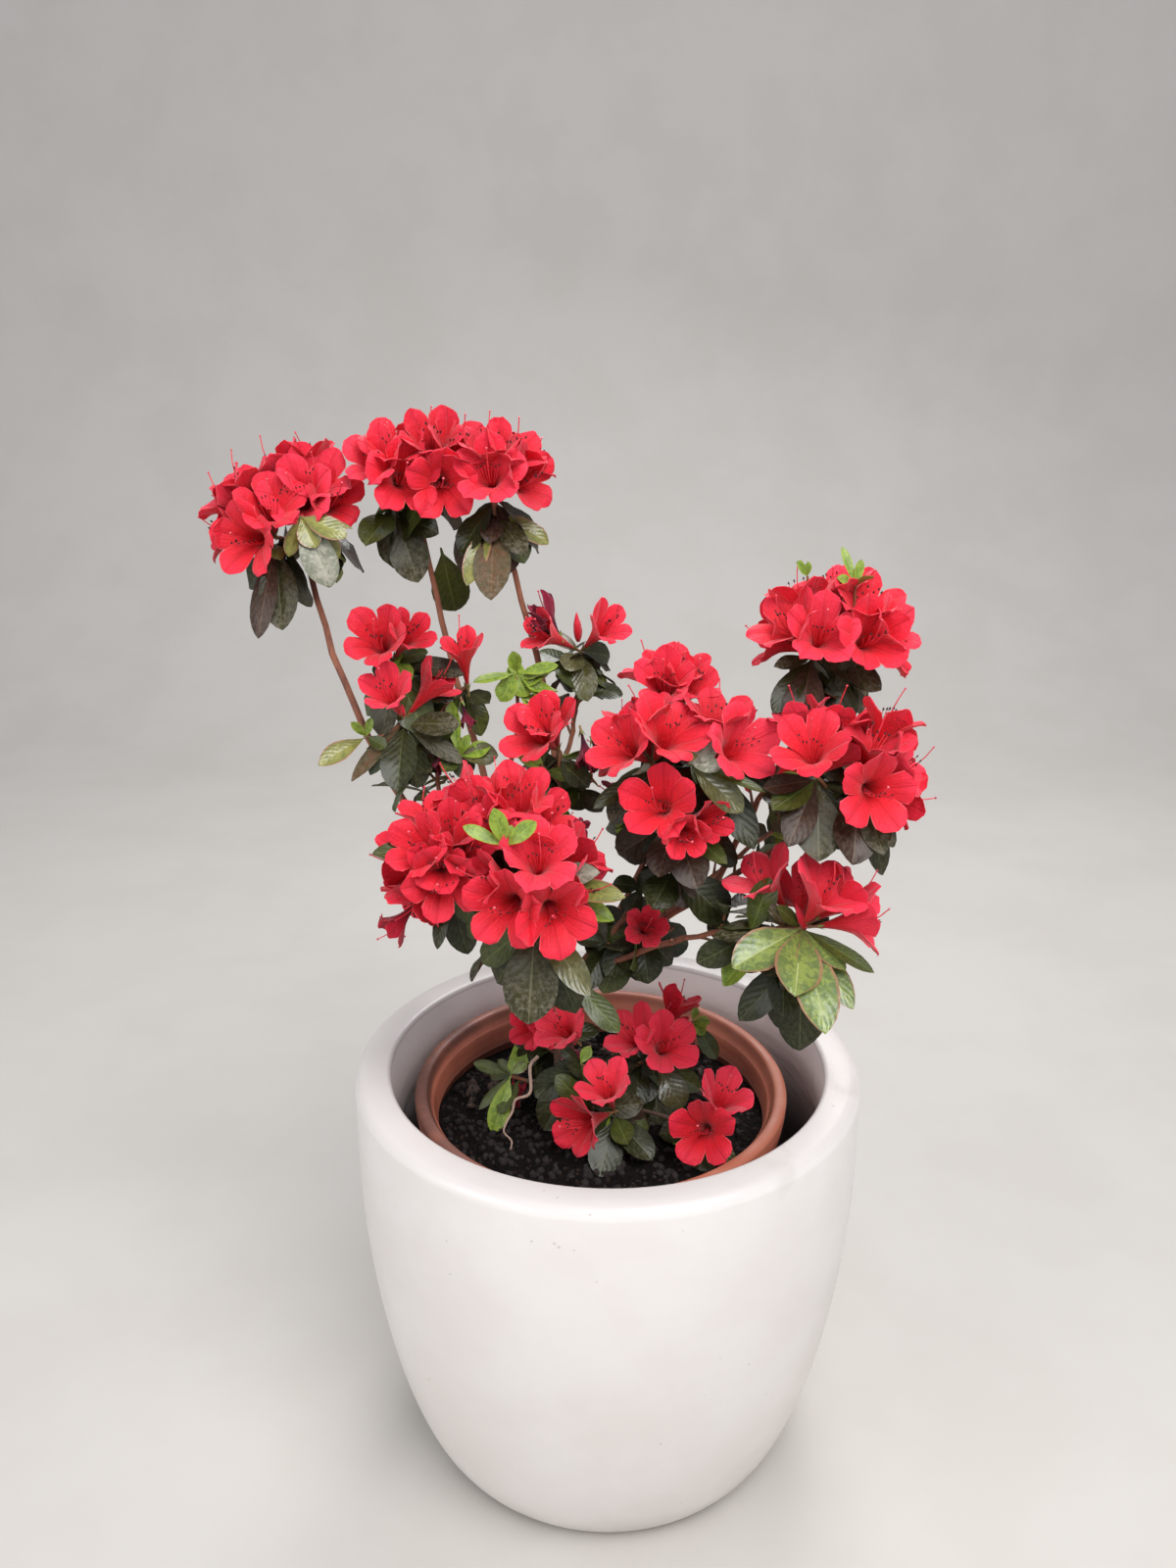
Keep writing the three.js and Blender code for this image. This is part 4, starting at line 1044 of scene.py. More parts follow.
# %% The leaves seen in the photograph
LEAVES_SEEN = {
    ("far_left", 0, 4): [
        (286, 640, 48, 22, "dusty"), (258, 645, 54, 15, "purple"), (285, 570, 16, 9, "olive"),
        (250, 600, 34, 16, "dark", True),
    ],
    ("far_left", 1, 6): [
        (335, 597, 36, 18, "dusty"), (322, 570, 26, 15, "dark", True), (352, 556, 26, 14, "dark", True),
    ],
    ("top_left", 0, 14): [
        (373, 546, 34, 19, "mid"), (405, 582, 34, 16, "mid", True), (426, 590, 42, 22, "dusty"),
        (447, 542, 30, 15, "dark"),
    ],
    ("top_left", 1, 38): [(466, 628, 42, 22, "mid", True)],
    ("top_right", 0, 11): [
        (474, 592, 44, 13, "olive"), (500, 552, 20, 13, "purple"), (536, 564, 32, 14, "dusty"),
        (563, 552, 34, 13, "olive"), (500, 607, 50, 21, "brown"), (462, 545, 30, 15, "dark", True),
    ],
    ("left", 0, 0): [
        (432, 662, 22, 11, "mid"), (475, 683, 40, 12, "dusty"), (385, 690, 18, 12, "dark"),
        (420, 692, 18, 10, "fresh"), (408, 668, 10, 7, "fresh"),
    ],
    ("left", 1, 2): [
        (404, 802, 42, 20, "dark"), (355, 793, 42, 10, "brown"), (472, 777, 38, 11, "dusty"),
        (467, 737, 32, 15, "dusty"), (392, 748, 24, 14, "dark", True),
        (418, 795, 38, 14, "mid", True),
    ],
    ("left", 2, 3): [
        (498, 716, 22, 12, "dark"), (462, 722, 20, 11, "mid", True), (488, 735, 24, 12, "dark", True),
    ],
    ("centre_back", 0, 0): [
        (558, 643, 20, 9, "pale"), (578, 682, 18, 15, "glossy"), (600, 714, 30, 15, "glossy"),
        (572, 706, 30, 18, "dark", True), (625, 668, 24, 14, "dark", True),
        (612, 690, 22, 13, "dark", True),
    ],
    ("young_shoot", 0, -2): [
        (524, 667, 14, 8, "fresh"), (568, 677, 24, 7, "fresh"), (484, 693, 26, 6, "fresh"),
        (508, 718, 18, 12, "fresh"), (541, 717, 14, 12, "fresh"), (574, 718, 28, 10, "fresh"),
    ],
    ("centre", 0, 5): [
        (545, 788, 26, 14, "dark", True), (600, 802, 26, 13, "dark"), (530, 775, 30, 12, "dark", True),
    ],
    ("middle", 1, 3): [
        (606, 822, 40, 9, "dark"), (622, 838, 36, 18, "dusty"), (645, 860, 42, 15, "dark", True),
    ],
    ("middle", 2, 2): [
        (672, 893, 34, 19, "purple"), (712, 905, 40, 21, "purple"), (742, 880, 38, 11, "mid"),
        (632, 862, 38, 17, "dark", True), (760, 880, 46, 18, "dark", True),
    ],
    ("middle", 2, 30): [
        (747, 938, 40, 24, "dark", True), (666, 925, 28, 20, "dark"), (702, 925, 22, 14, "purple"),
        (640, 905, 34, 13, "dark", True),
    ],
    ("middle", 3, 0): [(772, 862, 52, 18, "dark"), (798, 800, 42, 15, "dark", True)],
    ("inner_low", 0, -2): [
        (662, 1003, 31, 20, "dark"), (618, 996, 34, 18, "dark"), (600, 962, 32, 15, "mid", True),
        (690, 985, 30, 15, "dark", True),
    ],
    ("right_top", 0, 3): [
        (790, 722, 38, 14, "dark"), (815, 748, 46, 22, "purple"), (795, 674, 26, 8, "dusty"),
    ],
    ("right_top", 1, 3): [
        (850, 748, 46, 20, "dark"), (884, 706, 26, 12, "dusty"), (868, 726, 36, 17, "dark", True),
    ],
    ("right", 0, 2): [
        (781, 802, 34, 11, "purple"), (790, 824, 34, 16, "mid"), (806, 858, 42, 17, "purple"),
        (838, 874, 44, 25, "dusty"),
    ],
    ("right", 1, 2): [
        (872, 878, 44, 24, "purple"), (903, 868, 40, 15, "dusty"), (909, 898, 54, 14, "dark", True),
    ],
    ("low_right", 0, 0): [
        (750, 984, 45, 22, "bronzed"), (812, 1014, 44, 25, "bronzed"), (845, 1042, 61, 22, "bronzed"),
        (872, 1024, 50, 14, "bronzed"), (735, 967, 46, 9, "dark", True), (862, 985, 34, 11, "bronzed"),
        (891, 990, 48, 8, "mid"), (795, 925, 18, 9, "mid"), (846, 930, 20, 10, "dark", True),
    ],
    ("low_right", 0, 14): [
        (752, 1043, 50, 18, "dark", True), (797, 1056, 46, 23, "dark", True),
        (818, 1076, 54, 25, "dark", True),
    ],
    ("front", 0, 12): [(445, 966, 34, 8, "dark"), (478, 975, 38, 17, "dark", True)],
    ("front", 0, -8): [(383, 868, 42, 12, "mid")],
    ("front", 1, 0): [
        (608, 888, 36, 13, "pale"), (636, 912, 47, 13, "olive"), (628, 938, 44, 12, "fresh"),
        (630, 945, 40, 11, "olive"),
    ],
    ("front", 1, 20): [
        (538, 1044, 53, 28, "dusty"), (503, 1006, 46, 20, "dark", True),
        (590, 1036, 54, 20, "dark", True), (602, 1014, 48, 15, "glossy"), (592, 996, 34, 14, "pale"),
        (488, 984, 42, 17, "mid", True),
    ],
    ("pot_front", 0, 3): [
        (612, 1200, 36, 20, "dark"), (664, 1180, 34, 17, "dark"), (640, 1166, 22, 14, "mid"),
        (650, 1128, 20, 12, "mid", True), (636, 1188, 34, 18, "dark", True),
    ],
    ("pot_middle", 0, 4): [
        (672, 1172, 48, 23, "dusty"), (640, 1154, 42, 19, "dark"), (698, 1130, 32, 19, "glossy"),
        (718, 1112, 32, 14, "mid"), (610, 1086, 36, 11, "dark"), (655, 1125, 26, 15, "dark"),
    ],
    ("pot_back", 0, 2): [
        (612, 1052, 34, 13, "mid", True), (545, 1085, 24, 14, "dark"), (580, 1088, 26, 14, "dark"),
        (520, 1062, 24, 13, "mid", True),
    ],
    ("pot_right", 0, 2): [
        (712, 1200, 30, 17, "dark"), (744, 1202, 30, 17, "mid"), (690, 1180, 28, 14, "dark", True),
    ],
    ("pot_shoot", 0, -1): [
        (482, 1083, 24, 8, "mid"), (486, 1134, 28, 6, "mid"), (501, 1160, 36, 13, "fresh"),
        (506, 1078, 12, 6, "mid"), (537, 1084, 12, 7, "bronzed"), (522, 1076, 9, 5, "fresh"),
    ],
}
TUFTS_SEEN = [
    ("far_left", 1, (306, 527, 4), [
        (353, 543, 27, 14, "olive"), (353, 572, 30, 14, "olive"), (322, 558, 19, 13, "olive"),
        (293, 570, 22, 9, "olive"), (338, 598, 40, 19, "pale"), (362, 536, 28, 4, "olive"),
        (325, 563, 18, 9, "fresh", True), (318, 580, 24, 14, "dusty", True),
    ]),
    ("middle", 3, (703, 779, -58), [
        (731, 757, 18, 12, "pale"), (734, 780, 17, 9, "pale"), (765, 832, 37, 16, "glossy"),
        (710, 765, 8, 5, "olive"), (782, 802, 42, 6, "mid"), (722, 800, 14, 9, "dark"),
    ]),
    ("right_top", 1, (873, 598, -14), [
        (861, 556, 22, 5, "fresh"), (890, 582, 16, 6, "fresh"), (880, 568, 14, 5, "fresh"),
        (856, 588, 12, 6, "fresh"),
    ]),
    ("right_top", 0, (824, 588, -24), [(815, 573, 12, 6, "fresh"), (825, 574, 8, 4, "fresh")]),
    ("front", 2, (516, 864, -104), [
        (505, 827, 21, 9, "fresh"), (474, 841, 23, 7, "fresh"), (543, 838, 20, 9, "fresh"),
        (522, 840, 11, 6, "fresh", True),
    ]),
    ("left", 1, (374, 752, -20), [
        (325, 778, 31, 11, "olive"), (378, 733, 11, 5, "fresh"), (394, 762, 14, 8, "mid"),
        (360, 737, 12, 5, "fresh"),
    ]),
    ("left", 1, (468, 772, -12), [
        (500, 760, 19, 10, "fresh"), (507, 768, 22, 13, "glossy"), (452, 786, 18, 10, "mid"),
        (458, 708, 32, 8, "fresh"),
        (474, 794, 15, 10, "dark"), (478, 750, 14, 6, "fresh"), (486, 785, 16, 9, "dark", True),
    ]),
    ("centre", 0, (590, 803, -8), [
        (580, 784, 12, 8, "fresh"), (601, 790, 12, 7, "fresh"), (553, 807, 22, 9, "mid"),
        (614, 827, 20, 13, "dusty"), (574, 822, 16, 10, "mid"), (590, 830, 18, 11, "dark", True),
    ]),
    ("centre", 0, (551, 799, 0), [
        (543, 785, 11, 6, "fresh"), (566, 799, 12, 7, "mid"), (536, 810, 13, 8, "mid"),
        (555, 820, 16, 9, "dark", True),
    ]),
    ("pot_middle", 0, (707, 1042, 6), [
        (723, 1042, 11, 7, "fresh"), (719, 1056, 11, 7, "fresh"), (734, 1082, 27, 11, "mid"),
        (711, 1028, 9, 5, "fresh"), (690, 1085, 22, 12, "dark", True),
    ]),
    ("pot_middle", 0, (592, 1086, -14), [
        (552, 1156, 44, 23, "dark"), (580, 1150, 38, 19, "dark"), (543, 1120, 33, 19, "dark"),
        (612, 1112, 22, 13, "mid"), (602, 1068, 12, 7, "fresh"), (574, 1070, 15, 8, "dark"),
        (562, 1095, 20, 12, "dark", True),
    ]),
    ("front", 1, (584, 1000, -52), [
        (642, 1063, 38, 14, "mid"), (566, 1032, 24, 13, "dark", True), (606, 1030, 24, 12, "dark", True),
    ]),
    ("low_right", 0, (752, 962, -48), [(722, 936, 20, 13, "dusty"), (742, 940, 12, 9, "dark", True)]),
    ("middle", 2, (655, 905, -20), [
        (690, 925, 20, 12, "purple"), (628, 900, 18, 11, "dark"), (640, 935, 18, 11, "dark", True),
        (668, 880, 14, 9, "dark", True),
    ]),
]

# %% Grow the rosettes
LEAF_LENGTH, LEAF_WIDTH = 38, 20
LEAF_TURN = 137.5  # from one leaf to the next round a twig, in degrees
SEEN_SHOOTS = {(name, number) for name, number, _ in LEAVES_SEEN}


def new_leaf(place, matrix, length, width, mass, young, kind=None):
    return {"place": place, "matrix": matrix, "length": length, "width": width, "mass": mass,
            "young": young, "kind": kind}


def grow_leaves(name, row, number, shoot, draw, fuller):
    """The whorl of leaves under one head. Where the photograph's own are set, none faces the camera."""
    head, facing, blooms, count = shoot
    axis, head = unit(facing), np.asarray(head, float)
    twig = unit(head - fork_of(row)) if len(row[8]) > 1 else unit(row[5])
    start, leaves, total = draw(0, 360), [], round(count * fuller)
    toward, seen = unit(EYE - head), (name, number) in SEEN_SHOOTS
    for i in range(total):
        root = head - twig * (2 + 1.4 * count / max(total, 1) * i)
        for attempt in range(16):
            strain = attempt / 16
            turn = start + LEAF_TURN * i + draw(-1, 1) * (15 + 60 * strain)
            size = draw(0.74, 1.12) * row[7] * (1 - 0.3 * strain)
            way = tilted(axis, draw(90, 118) if blooms else draw(40, 80), turn)
            way = unit(way - (0, 0, draw(0.1, 0.8)))
            length, width = LEAF_LENGTH * size, LEAF_WIDTH * size
            matrix = basis(way, axis)
            across = [(0, 0, s) for s in (0.45, 0.6, 0.8, 1)] + [(k * 0.5, 0.05, 0.55) for k in (-1, 1)]
            probes = np.array(across) * (width, width, length) @ matrix.T + root
            hidden = not seen or way @ toward < 0.3
            if hidden and has_room(name, probes, 0):
                leaves.append(new_leaf(root, matrix, length, width, name, not blooms))
                break
    return leaves


BLOOMS, LEAVES = [], []
for index, (name, row) in enumerate(MASSES.items()):
    draw, mouths, fork = draws(index + 1), [], fork_of(row)
    way, thin = unit(row[5]), tip_radius(row)
    stem = np.array([bough_tip(row) - way, bough_tip(row) + 5 * way, fork])
    twig_paths.append((stem, [thin + 0.1, thin, thin * 0.85]))
    for number, shoot in enumerate(row[8]):
        head = np.asarray(shoot[0], float)
        if len(row[8]) > 1:
            along = np.linspace(0, 1, 6)
            bend = way * 0.12 * np.linalg.norm(head - fork)
            twig_paths.append((route(fork, head, bend, along), 1.5 - 0.4 * along))
        BLOOMS += grow_blooms(name, row, number, shoot, mouths, draw)
        LEAVES += grow_leaves(name, row, number, shoot, draw, 0.3 if name == "pot_shoot" else 2.0)
for foot, mouth, length, radius, look in LOOSE_BLOOMS:
    foot = seen_at(*foot)
    matrix = basis(aimed(foot, *mouth, 0.95 * length), (0.2, -0.5, 0.84))
    BLOOMS.append({"place": foot, "matrix": matrix, "length": length, "radius": radius, "mass": "loose",
                   "look": look, "ruffle": {"withered": 3.4, "deep": 1.6}.get(look, 1.0)})
print("blooms:", len(BLOOMS), "leaves:", len(LEAVES))

# %% [markdown]
# Below its head a bough also carries short side twigs with small rosettes of leaves. They fill the
# inside of the shrub, where the photograph shows dark leaves between the stems. The trunk, the three
# tall bare boughs on the left and three slight ones have none.

# %% Grow the side twigs
BARE = ("trunk", "far_left", "top_left", "top_right", "pot_right", "pot_shoot", "young_shoot")
TWIG_GAP = 17  # from one side twig to the next


def grow_sprigs(name, limb, draw):
    """Side twigs along one limb, each with its rosette of leaves."""
    start, end, bow, _ = limb
    span = np.linalg.norm(np.subtract(end, start))
    for i, along in enumerate(np.arange(0.42, 1.0, TWIG_GAP / span)):
        foot, ahead = route(start, end, bow, [along, along + 0.02])
        way = tilted(unit(ahead - foot), draw(40, 62), LEAF_TURN * i + draw(0, 60))
        way = unit(way + (0, 0, 0.25))
        head = foot + way * draw(9, 20)
        twig_paths.append((route(foot, head, (0, 0, 0.6), np.linspace(0, 1, 4)), [1.0, 0.85, 0.75, 0.7]))
        count, first_turn = int(draw(4, 7.9)), draw(0, 360)
        for j in range(count):
            last, root = j == count - 1, head - way * 1.2 * j
            for attempt in range(8):
                tilt = draw(5, 30) if last else draw(50, 95)
                leaf_way = tilted(way, tilt, first_turn + LEAF_TURN * j + draw(-20, 20))
                leaf_way = unit(leaf_way - (0, 0, draw(0.0, 0.45)))
                size = draw(0.42, 0.86)
                points = root + leaf_way * np.array([[0.5], [0.8], [1.0]]) * LEAF_LENGTH * size
                if has_room(name, points, -250, 0.5):
                    LEAVES.append(new_leaf(root, basis(leaf_way, way), LEAF_LENGTH * size,
                                           LEAF_LENGTH / 2 * size, name, last))
                    break


sprig_draw = draws(400)
for name, limb in LIMBS.items():
    if name not in BARE:
        grow_sprigs(name, limb, sprig_draw)
print("leaves with the side twigs:", len(LEAVES))

# %% Set the leaves seen in the photograph
VIEWED = unit((0.0, -0.75, 0.66))  # roughly towards the camera


def set_leaf(root, mass, across, down, length, width, kind, behind=False):
    """One leaf from a root, its tip where the photograph shows it."""
    way = aimed(root, across, down, length, behind)
    face = VIEWED if abs(way @ VIEWED) < 0.93 else np.array((0, 0.5, 0.86))
    LEAVES.append(new_leaf(root, basis(way, face), length, width, mass, True, kind))


for (name, number, drop), rows in LEAVES_SEEN.items():
    root = np.subtract(MASSES[name][8][number][0], (0, 0, drop))
    for row in rows:
        set_leaf(root, name, *row)
for name, number, end, rows in TUFTS_SEEN:
    start, end = np.asarray(MASSES[name][8][number][0], float), seen_at(*end)
    bow = (0, 0, -0.15 * np.linalg.norm(end - start))
    twig_paths.append((route(start, end, bow, np.linspace(0, 1, 6)), np.linspace(1.2, 0.7, 6)))
    for row in rows:
        set_leaf(end, name, *row)
print("all leaves:", len(LEAVES))

# %% [markdown]
# ## The bloom
# An azalea's bloom is a funnel of five petals joined below and spreading above into broad round
# lobes that lie a little over each other. Each lobe has a crease down its middle and a wavy edge,
# and the top one is freckled inside. A lobe is made as a grid: one curve gives the funnel's
# profile, another the lobe's width, and small waves and tilts make every lobe different. The grid
# is doubled into a thin closed blade, so that light and shade work on both of its sides.

# %% Curves and grids
def through(table, shares):
    """Catmull-Rom curve through the rows of a table, at shares from 0 to 1 of its rows."""
    table = np.asarray(table, float)
    last = len(table) - 1
    at = np.clip(shares, 0, 1) * last
    k = np.minimum(at.astype(int), last - 1)
    t = (at - k)[..., None]
    padded = np.vstack([2 * table[0] - table[1], table, 2 * table[-1] - table[-2]])
    a, b, c, d = (padded[k + j] for j in range(4))
    square, cube = 2 * a - 5 * b + 4 * c - d, 3 * b - a - 3 * c + d
    return 0.5 * (2 * b + (c - a) * t + square * t ** 2 + cube * t ** 3)


def grid_faces(rows, columns, flip=False):
    """Quads of a grid of points, numbered row by row."""
    i = np.arange(rows - 1)[:, None] * columns + np.arange(columns - 1)[None]
    quads = np.stack([i, i + 1, i + columns + 1, i + columns], -1).reshape(-1, 4)
    return quads[:, ::-1] if flip else quads


def rim_faces(rows, columns, offset):
    """Quads that join the borders of two grids of the same size."""
    row, column = np.arange(rows) * columns, np.arange(columns)
    loop = np.concatenate([column, row[1:] + column[-1], row[-1] + column[-2::-1], row[-2::-1]])
    here, there = loop[:-1], loop[1:]
    return np.stack([there, here, here + offset, there + offset], -1)


def surface_normals(grid):
    along, across = np.gradient(grid, axis=0), np.gradient(grid, axis=1)
    normals = np.cross(across, along)
    return normals / (np.linalg.norm(normals, axis=2, keepdims=True) + 1e-9)


# %% The lobe
ACROSS, ALONG = 11, 13  # points across a lobe and along it
FUNNEL = np.array([  # radius over the bloom's, height over its length, half-width over its radius
    (0.050, 0.13, 0.036), (0.100, 0.25, 0.073), (0.160, 0.37, 0.118), (0.24, 0.49, 0.182),
    (0.355, 0.605, 0.266), (0.51, 0.715, 0.362), (0.70, 0.820, 0.428), (0.88, 0.900, 0.430),
    (1.0, 0.940, 0.290)])
JOINED = 0.48  # as far up as this the petals are joined
THICKNESS = 0.32  # of a petal, which thins towards its edges
LOBE_TOP = grid_faces(ALONG, ACROSS)
LOBE_BACK = grid_faces(ALONG, ACROSS, flip=True) + ACROSS * ALONG
LOBE_RIM = rim_faces(ALONG, ACROSS, ACROSS * ALONG)
LOBE_FACES = np.concatenate([LOBE_TOP, LOBE_BACK, LOBE_RIM])
U = np.linspace(-1, 1, ACROSS)[None].repeat(ALONG, 0)
V = (np.linspace(0, 1, ALONG) ** 0.85)[:, None].repeat(ACROSS, 1)


def lobe(length, radius, angle, rng, ruffle=1.0, tilt=0.0):
    """Points and UVs of one lobe round the +Z axis, its middle at an angle in radians."""
    phases = rng.uniform(0, 6.28, 5)
    ripple = 0.015 * np.exp(-(U / 0.2) ** 2) + 0.014 * np.sin(9 * U + phases[3])
    tip = 1 - 0.21 * np.abs(U) ** 2.1 + ripple
    shares = V * (1 - (1 - tip) * V ** 3)
    r, z, w = np.moveaxis(through(FUNNEL, shares), -1, 0)
    free = np.clip((shares - JOINED) / (1 - JOINED), 0, 1)  # 0 where the lobes are joined, 1 at the tip
    wrap = 1 - 0.8 * free ** 0.6
    lateral = w * U * (1 + 0.035 * free * np.sin(9 * V + phases[4]))
    fan = lateral / np.maximum(r, 0.02)
    sideways = wrap * r * np.sin(fan) + (1 - wrap) * lateral
    outward = wrap * r * np.cos(fan) + (1 - wrap) * r
    cup, curl = rng.normal(-0.07, 0.06), rng.uniform(0.0, 0.09)
    waves = (np.sin(9 * V + 2.2 * U + phases[0]) * 0.6 + np.sin(15 * V - 3 * U + phases[1]) * 0.4)
    creased = -0.045 * np.exp(-(U / 0.17) ** 2) * np.sqrt(free)
    wavy = 0.045 * waves * np.abs(U) ** 1.3 * free + 0.03 * np.sin(5 * U + phases[2]) * free ** 3
    overlap = (0.008 + 0.040 * free * (1 - 0.4 * free)) * U
    lift = cup * U ** 2 * free + creased - curl * free ** 3 + ruffle * wavy + overlap
    slope = free * tilt
    height = z * length + (lift + slope * free) * radius * 0.8
    reach = (outward - 0.5 * lift - 0.35 * np.abs(slope) * free) * radius
    across = sideways * radius
    grid = np.stack([reach * math.cos(angle) - across * math.sin(angle),
                     reach * math.sin(angle) + across * math.cos(angle), height], -1)
    thin = (THICKNESS * (1 - 0.55 * free * np.abs(U) ** 2))[..., None]
    back = grid - surface_normals(grid) * thin
    uvs = np.stack([U * 0.5 + 0.5, shares], -1).reshape(-1, 2)
    return np.concatenate([grid.reshape(-1, 3), back.reshape(-1, 3)]), np.concatenate([uvs, uvs])


check, _ = lobe(BLOOM_LENGTH, BLOOM_RADIUS, 0, np.random.default_rng(1))
print("one lobe:", len(LOBE_FACES), "faces, reach", np.round(check.max(0), 1).tolist())

# %% [markdown]
# ## Petal colours
# The red is strong and deeper in the funnel. Towards the rim it is painted a little pinker, a painted
# highlight where the lobes catch the most light, and the thin pale margin is partly the petal's own
# and partly a painted highlight on its edge. Fine veins run up every lobe, and its surface is slightly
# crinkled. No two trusses are quite the same, so there are a bright, a pinkish and a deep red, dealt
# out bloom by bloom as plain base colours, mostly by chance; the blooms low in the pot get the deep red
# more often, as painted shade, and those at the low right the pinkish red, as painted light. The back
# of a petal is duller, the freckles have faces and a finish of their own, and a withered bloom is
# crimson going on purple.

# %% The petal group
blade, given, made = new_group(
    "petal_blade",
    {"Colour": ("Color", (1, 0, 0, 1)), "Throat": ("Color", (0.3, 0, 0, 1)), "Veins": ("Float", 0.2),
     "Freckles": ("Float", 0.0), "Flush": ("Float", 0.25)},
    {"Colour": "Color", "Height": "Float"},
)
uv = add(blade, "ShaderNodeUVMap", uv_map="blade").outputs[0]
parts = add(blade, "ShaderNodeSeparateXYZ", {0: uv}).outputs
lines = noise(blade, stretched(blade, uv, (26, 2.2, 1)), 1.0, 3.0, Distortion=0.3)
crease = math_node(blade, "ABSOLUTE", math_node(blade, "SUBTRACT", parts["X"], 0.5))
mid = ramp(blade, crease, 0.012, 0.05, 1, 0)
veins = times(blade, math_node(blade, "MAXIMUM", ramp(blade, lines, 0.50, 0.62), mid), given["Veins"])
darker = mix_colour(blade, 1.0, given["Colour"], (0.62, 0.35, 0.40, 1), "MULTIPLY")
toned = mix_colour(blade, veins, given["Colour"], darker)
toned = mix_colour(blade, ramp(blade, parts["Y"], 0.60, 0.30), toned, given["Throat"])
# Painted highlight: the outer part of each lobe, which catches the most light, is painted pinker.
toned = tint(blade, toned, "ee3458", ramp(blade, parts["Y"], 0.60, 0.88), given["Flush"])
# The thin pale edge: partly the petal's own, partly a painted highlight along the edge.
pale_edge_and_painted_highlight = times(blade, ramp(blade, crease, 0.455, 0.5), ramp(blade, parts["Y"], 0.55, 0.7, 0, 0.3))
toned = tint(blade, toned, "f07a80", pale_edge_and_painted_highlight)
dots = add(blade, "ShaderNodeTexVoronoi",
           {"Vector": stretched(blade, uv, (13, 22, 1)), "Scale": 1.0, "Randomness": 0.8},
           voronoi_dimensions="2D").outputs["Distance"]
toned = tint(blade, toned, "5a0715", ramp(blade, dots, 0.20, 0.34, 1, 0), given["Freckles"])
blade.links.new(toned, made["Colour"])
crinkle = noise(blade, places(blade)[0], 330.0, 3.0, Roughness=0.6, Distortion=0.5)
creased = math_node(blade, "SUBTRACT", lines, mid)
blade.links.new(math_node(blade, "ADD", creased, times(blade, crinkle, 1.8)), made["Height"])


def petal_look(name, code, throat, veins=0.12, freckles=0.0, roughness=0.5, glow=0.3, painted_highlight=0.25):
    material, shader, tree = new_material(
        name, roughness, Subsurface_Weight=glow, Subsurface_Radius=(1.0, 0.25, 0.2),
        Subsurface_Scale=0.0018, Sheen_Weight=0.18, Sheen_Roughness=0.4, Specular_IOR_Level=0.27)
    out = use_group(tree, blade, Colour=colour(code), Throat=colour(throat), Veins=veins,
                    Freckles=freckles, Flush=painted_highlight)
    dress(tree, shader, out["Colour"], normal=bump(tree, out["Height"], 0.55, 0.0008))
    return material


# Each red: its lobe and its throat. Dealt partly by chance; bloom_tone also uses the pinkish red as
# painted light and the deep red as painted shade.
REDS = {"bright": ("dc1d2e", "c40f19"), "pinkish": ("e42e42", "ca1621"), "deep": ("c91525", "ab0b14")}
petal_looks = [[
    petal_look(f"petal_{name}", *codes),
    petal_look(f"petal_freckled_{name}", *codes, freckles=0.85),
    petal_look(f"petal_back_{name}", *codes, veins=0.45, roughness=0.6),
] for name, codes in REDS.items()]
petal_looks[2] += [
    petal_look("petal_fading", "a5132b", "7a0d20", veins=0.4, roughness=0.6, glow=0.1, painted_highlight=0.0),
    petal_look("petal_withered", "811632", "480c26", veins=0.6, roughness=0.75, glow=0.0, painted_highlight=0.0),
]
SPENT_LOOKS = {"deep": 3, "withered": 4}  # where they are among the looks of the deep red


# %% Grow every bloom
def bloom_tone(bloom, draw):
    """0 bright, 1 pinkish, 2 deep, mostly by chance. Those low in the pot are deeper, as painted shade,
    and those at the low right lighter, as painted light.
    """
    low, dice = bloom["place"][2] < 300, draw(0, 1)
    if bloom["look"] in SPENT_LOOKS:
        return 2
    # Painted light: the low right's blooms lie in the shade of the truss above, so they get the pinkish
    # red.
    if bloom["mass"] == "low_right":
        return 1
    # Painted shade: low in the pot the deep red comes more often.
    return 2 if dice < (0.5 if low else 0.22) else 1 if dice > 0.60 else 0


PETALS = 5
UP_LOBE = V[:-1, :-1].ravel() + 0.5 / ALONG
OFF_CREASE = np.abs(U[:-1, :-1].ravel() + 1 / ACROSS)
FRECKLED = ((UP_LOBE > 0.42) & (UP_LOBE < 0.82) & (OFF_CREASE < 0.7)).astype(int)
petals = [Gathered() for _ in REDS]
stamens = Gathered()
stalks = Gathered()
tone_draw = draws(77)
for number, bloom in enumerate(BLOOMS):
    rng = np.random.default_rng(500 + number)
    tone, ruffle = bloom_tone(bloom, tone_draw), bloom["ruffle"]
    for k in range(PETALS):
        angle = math.pi / 2 + k * 2 * math.pi / PETALS + rng.normal(0, 0.05)
        flare = 0.09 * math.cos(angle - math.pi / 2) + rng.normal(0.03, 0.12 * ruffle ** 1.3)
        radius = bloom["radius"] * rng.uniform(0.95, 1.05)
        points, uvs = lobe(bloom["length"], radius, angle, rng, rng.uniform(0.9, 2.1) * ruffle, flare)
        looks = list(FRECKLED * (k == 0)) + [2] * len(LOBE_BACK) + [0] * len(LOBE_RIM)
        if bloom["look"] in SPENT_LOOKS:
            looks = [SPENT_LOOKS[bloom["look"]]] * len(looks)
        petals[tone].add(points @ bloom["matrix"].T + bloom["place"], LOBE_FACES, looks, uvs)

# %% [markdown]
# ## Stamens, styles and stalks
# A few fine red filaments with dark anthers stand in each fresh funnel, lean to its lower side and
# curve up at the end, and one stouter style with a round tip reaches well past the petals. They are
# drawn as thin tubes along curves. The stalk and the small green calyx carry the bloom.

# %% Tubes and beads
SIDEWAYS = (0.31, 0.57, 0.76)  # any direction that no tube or bead points in


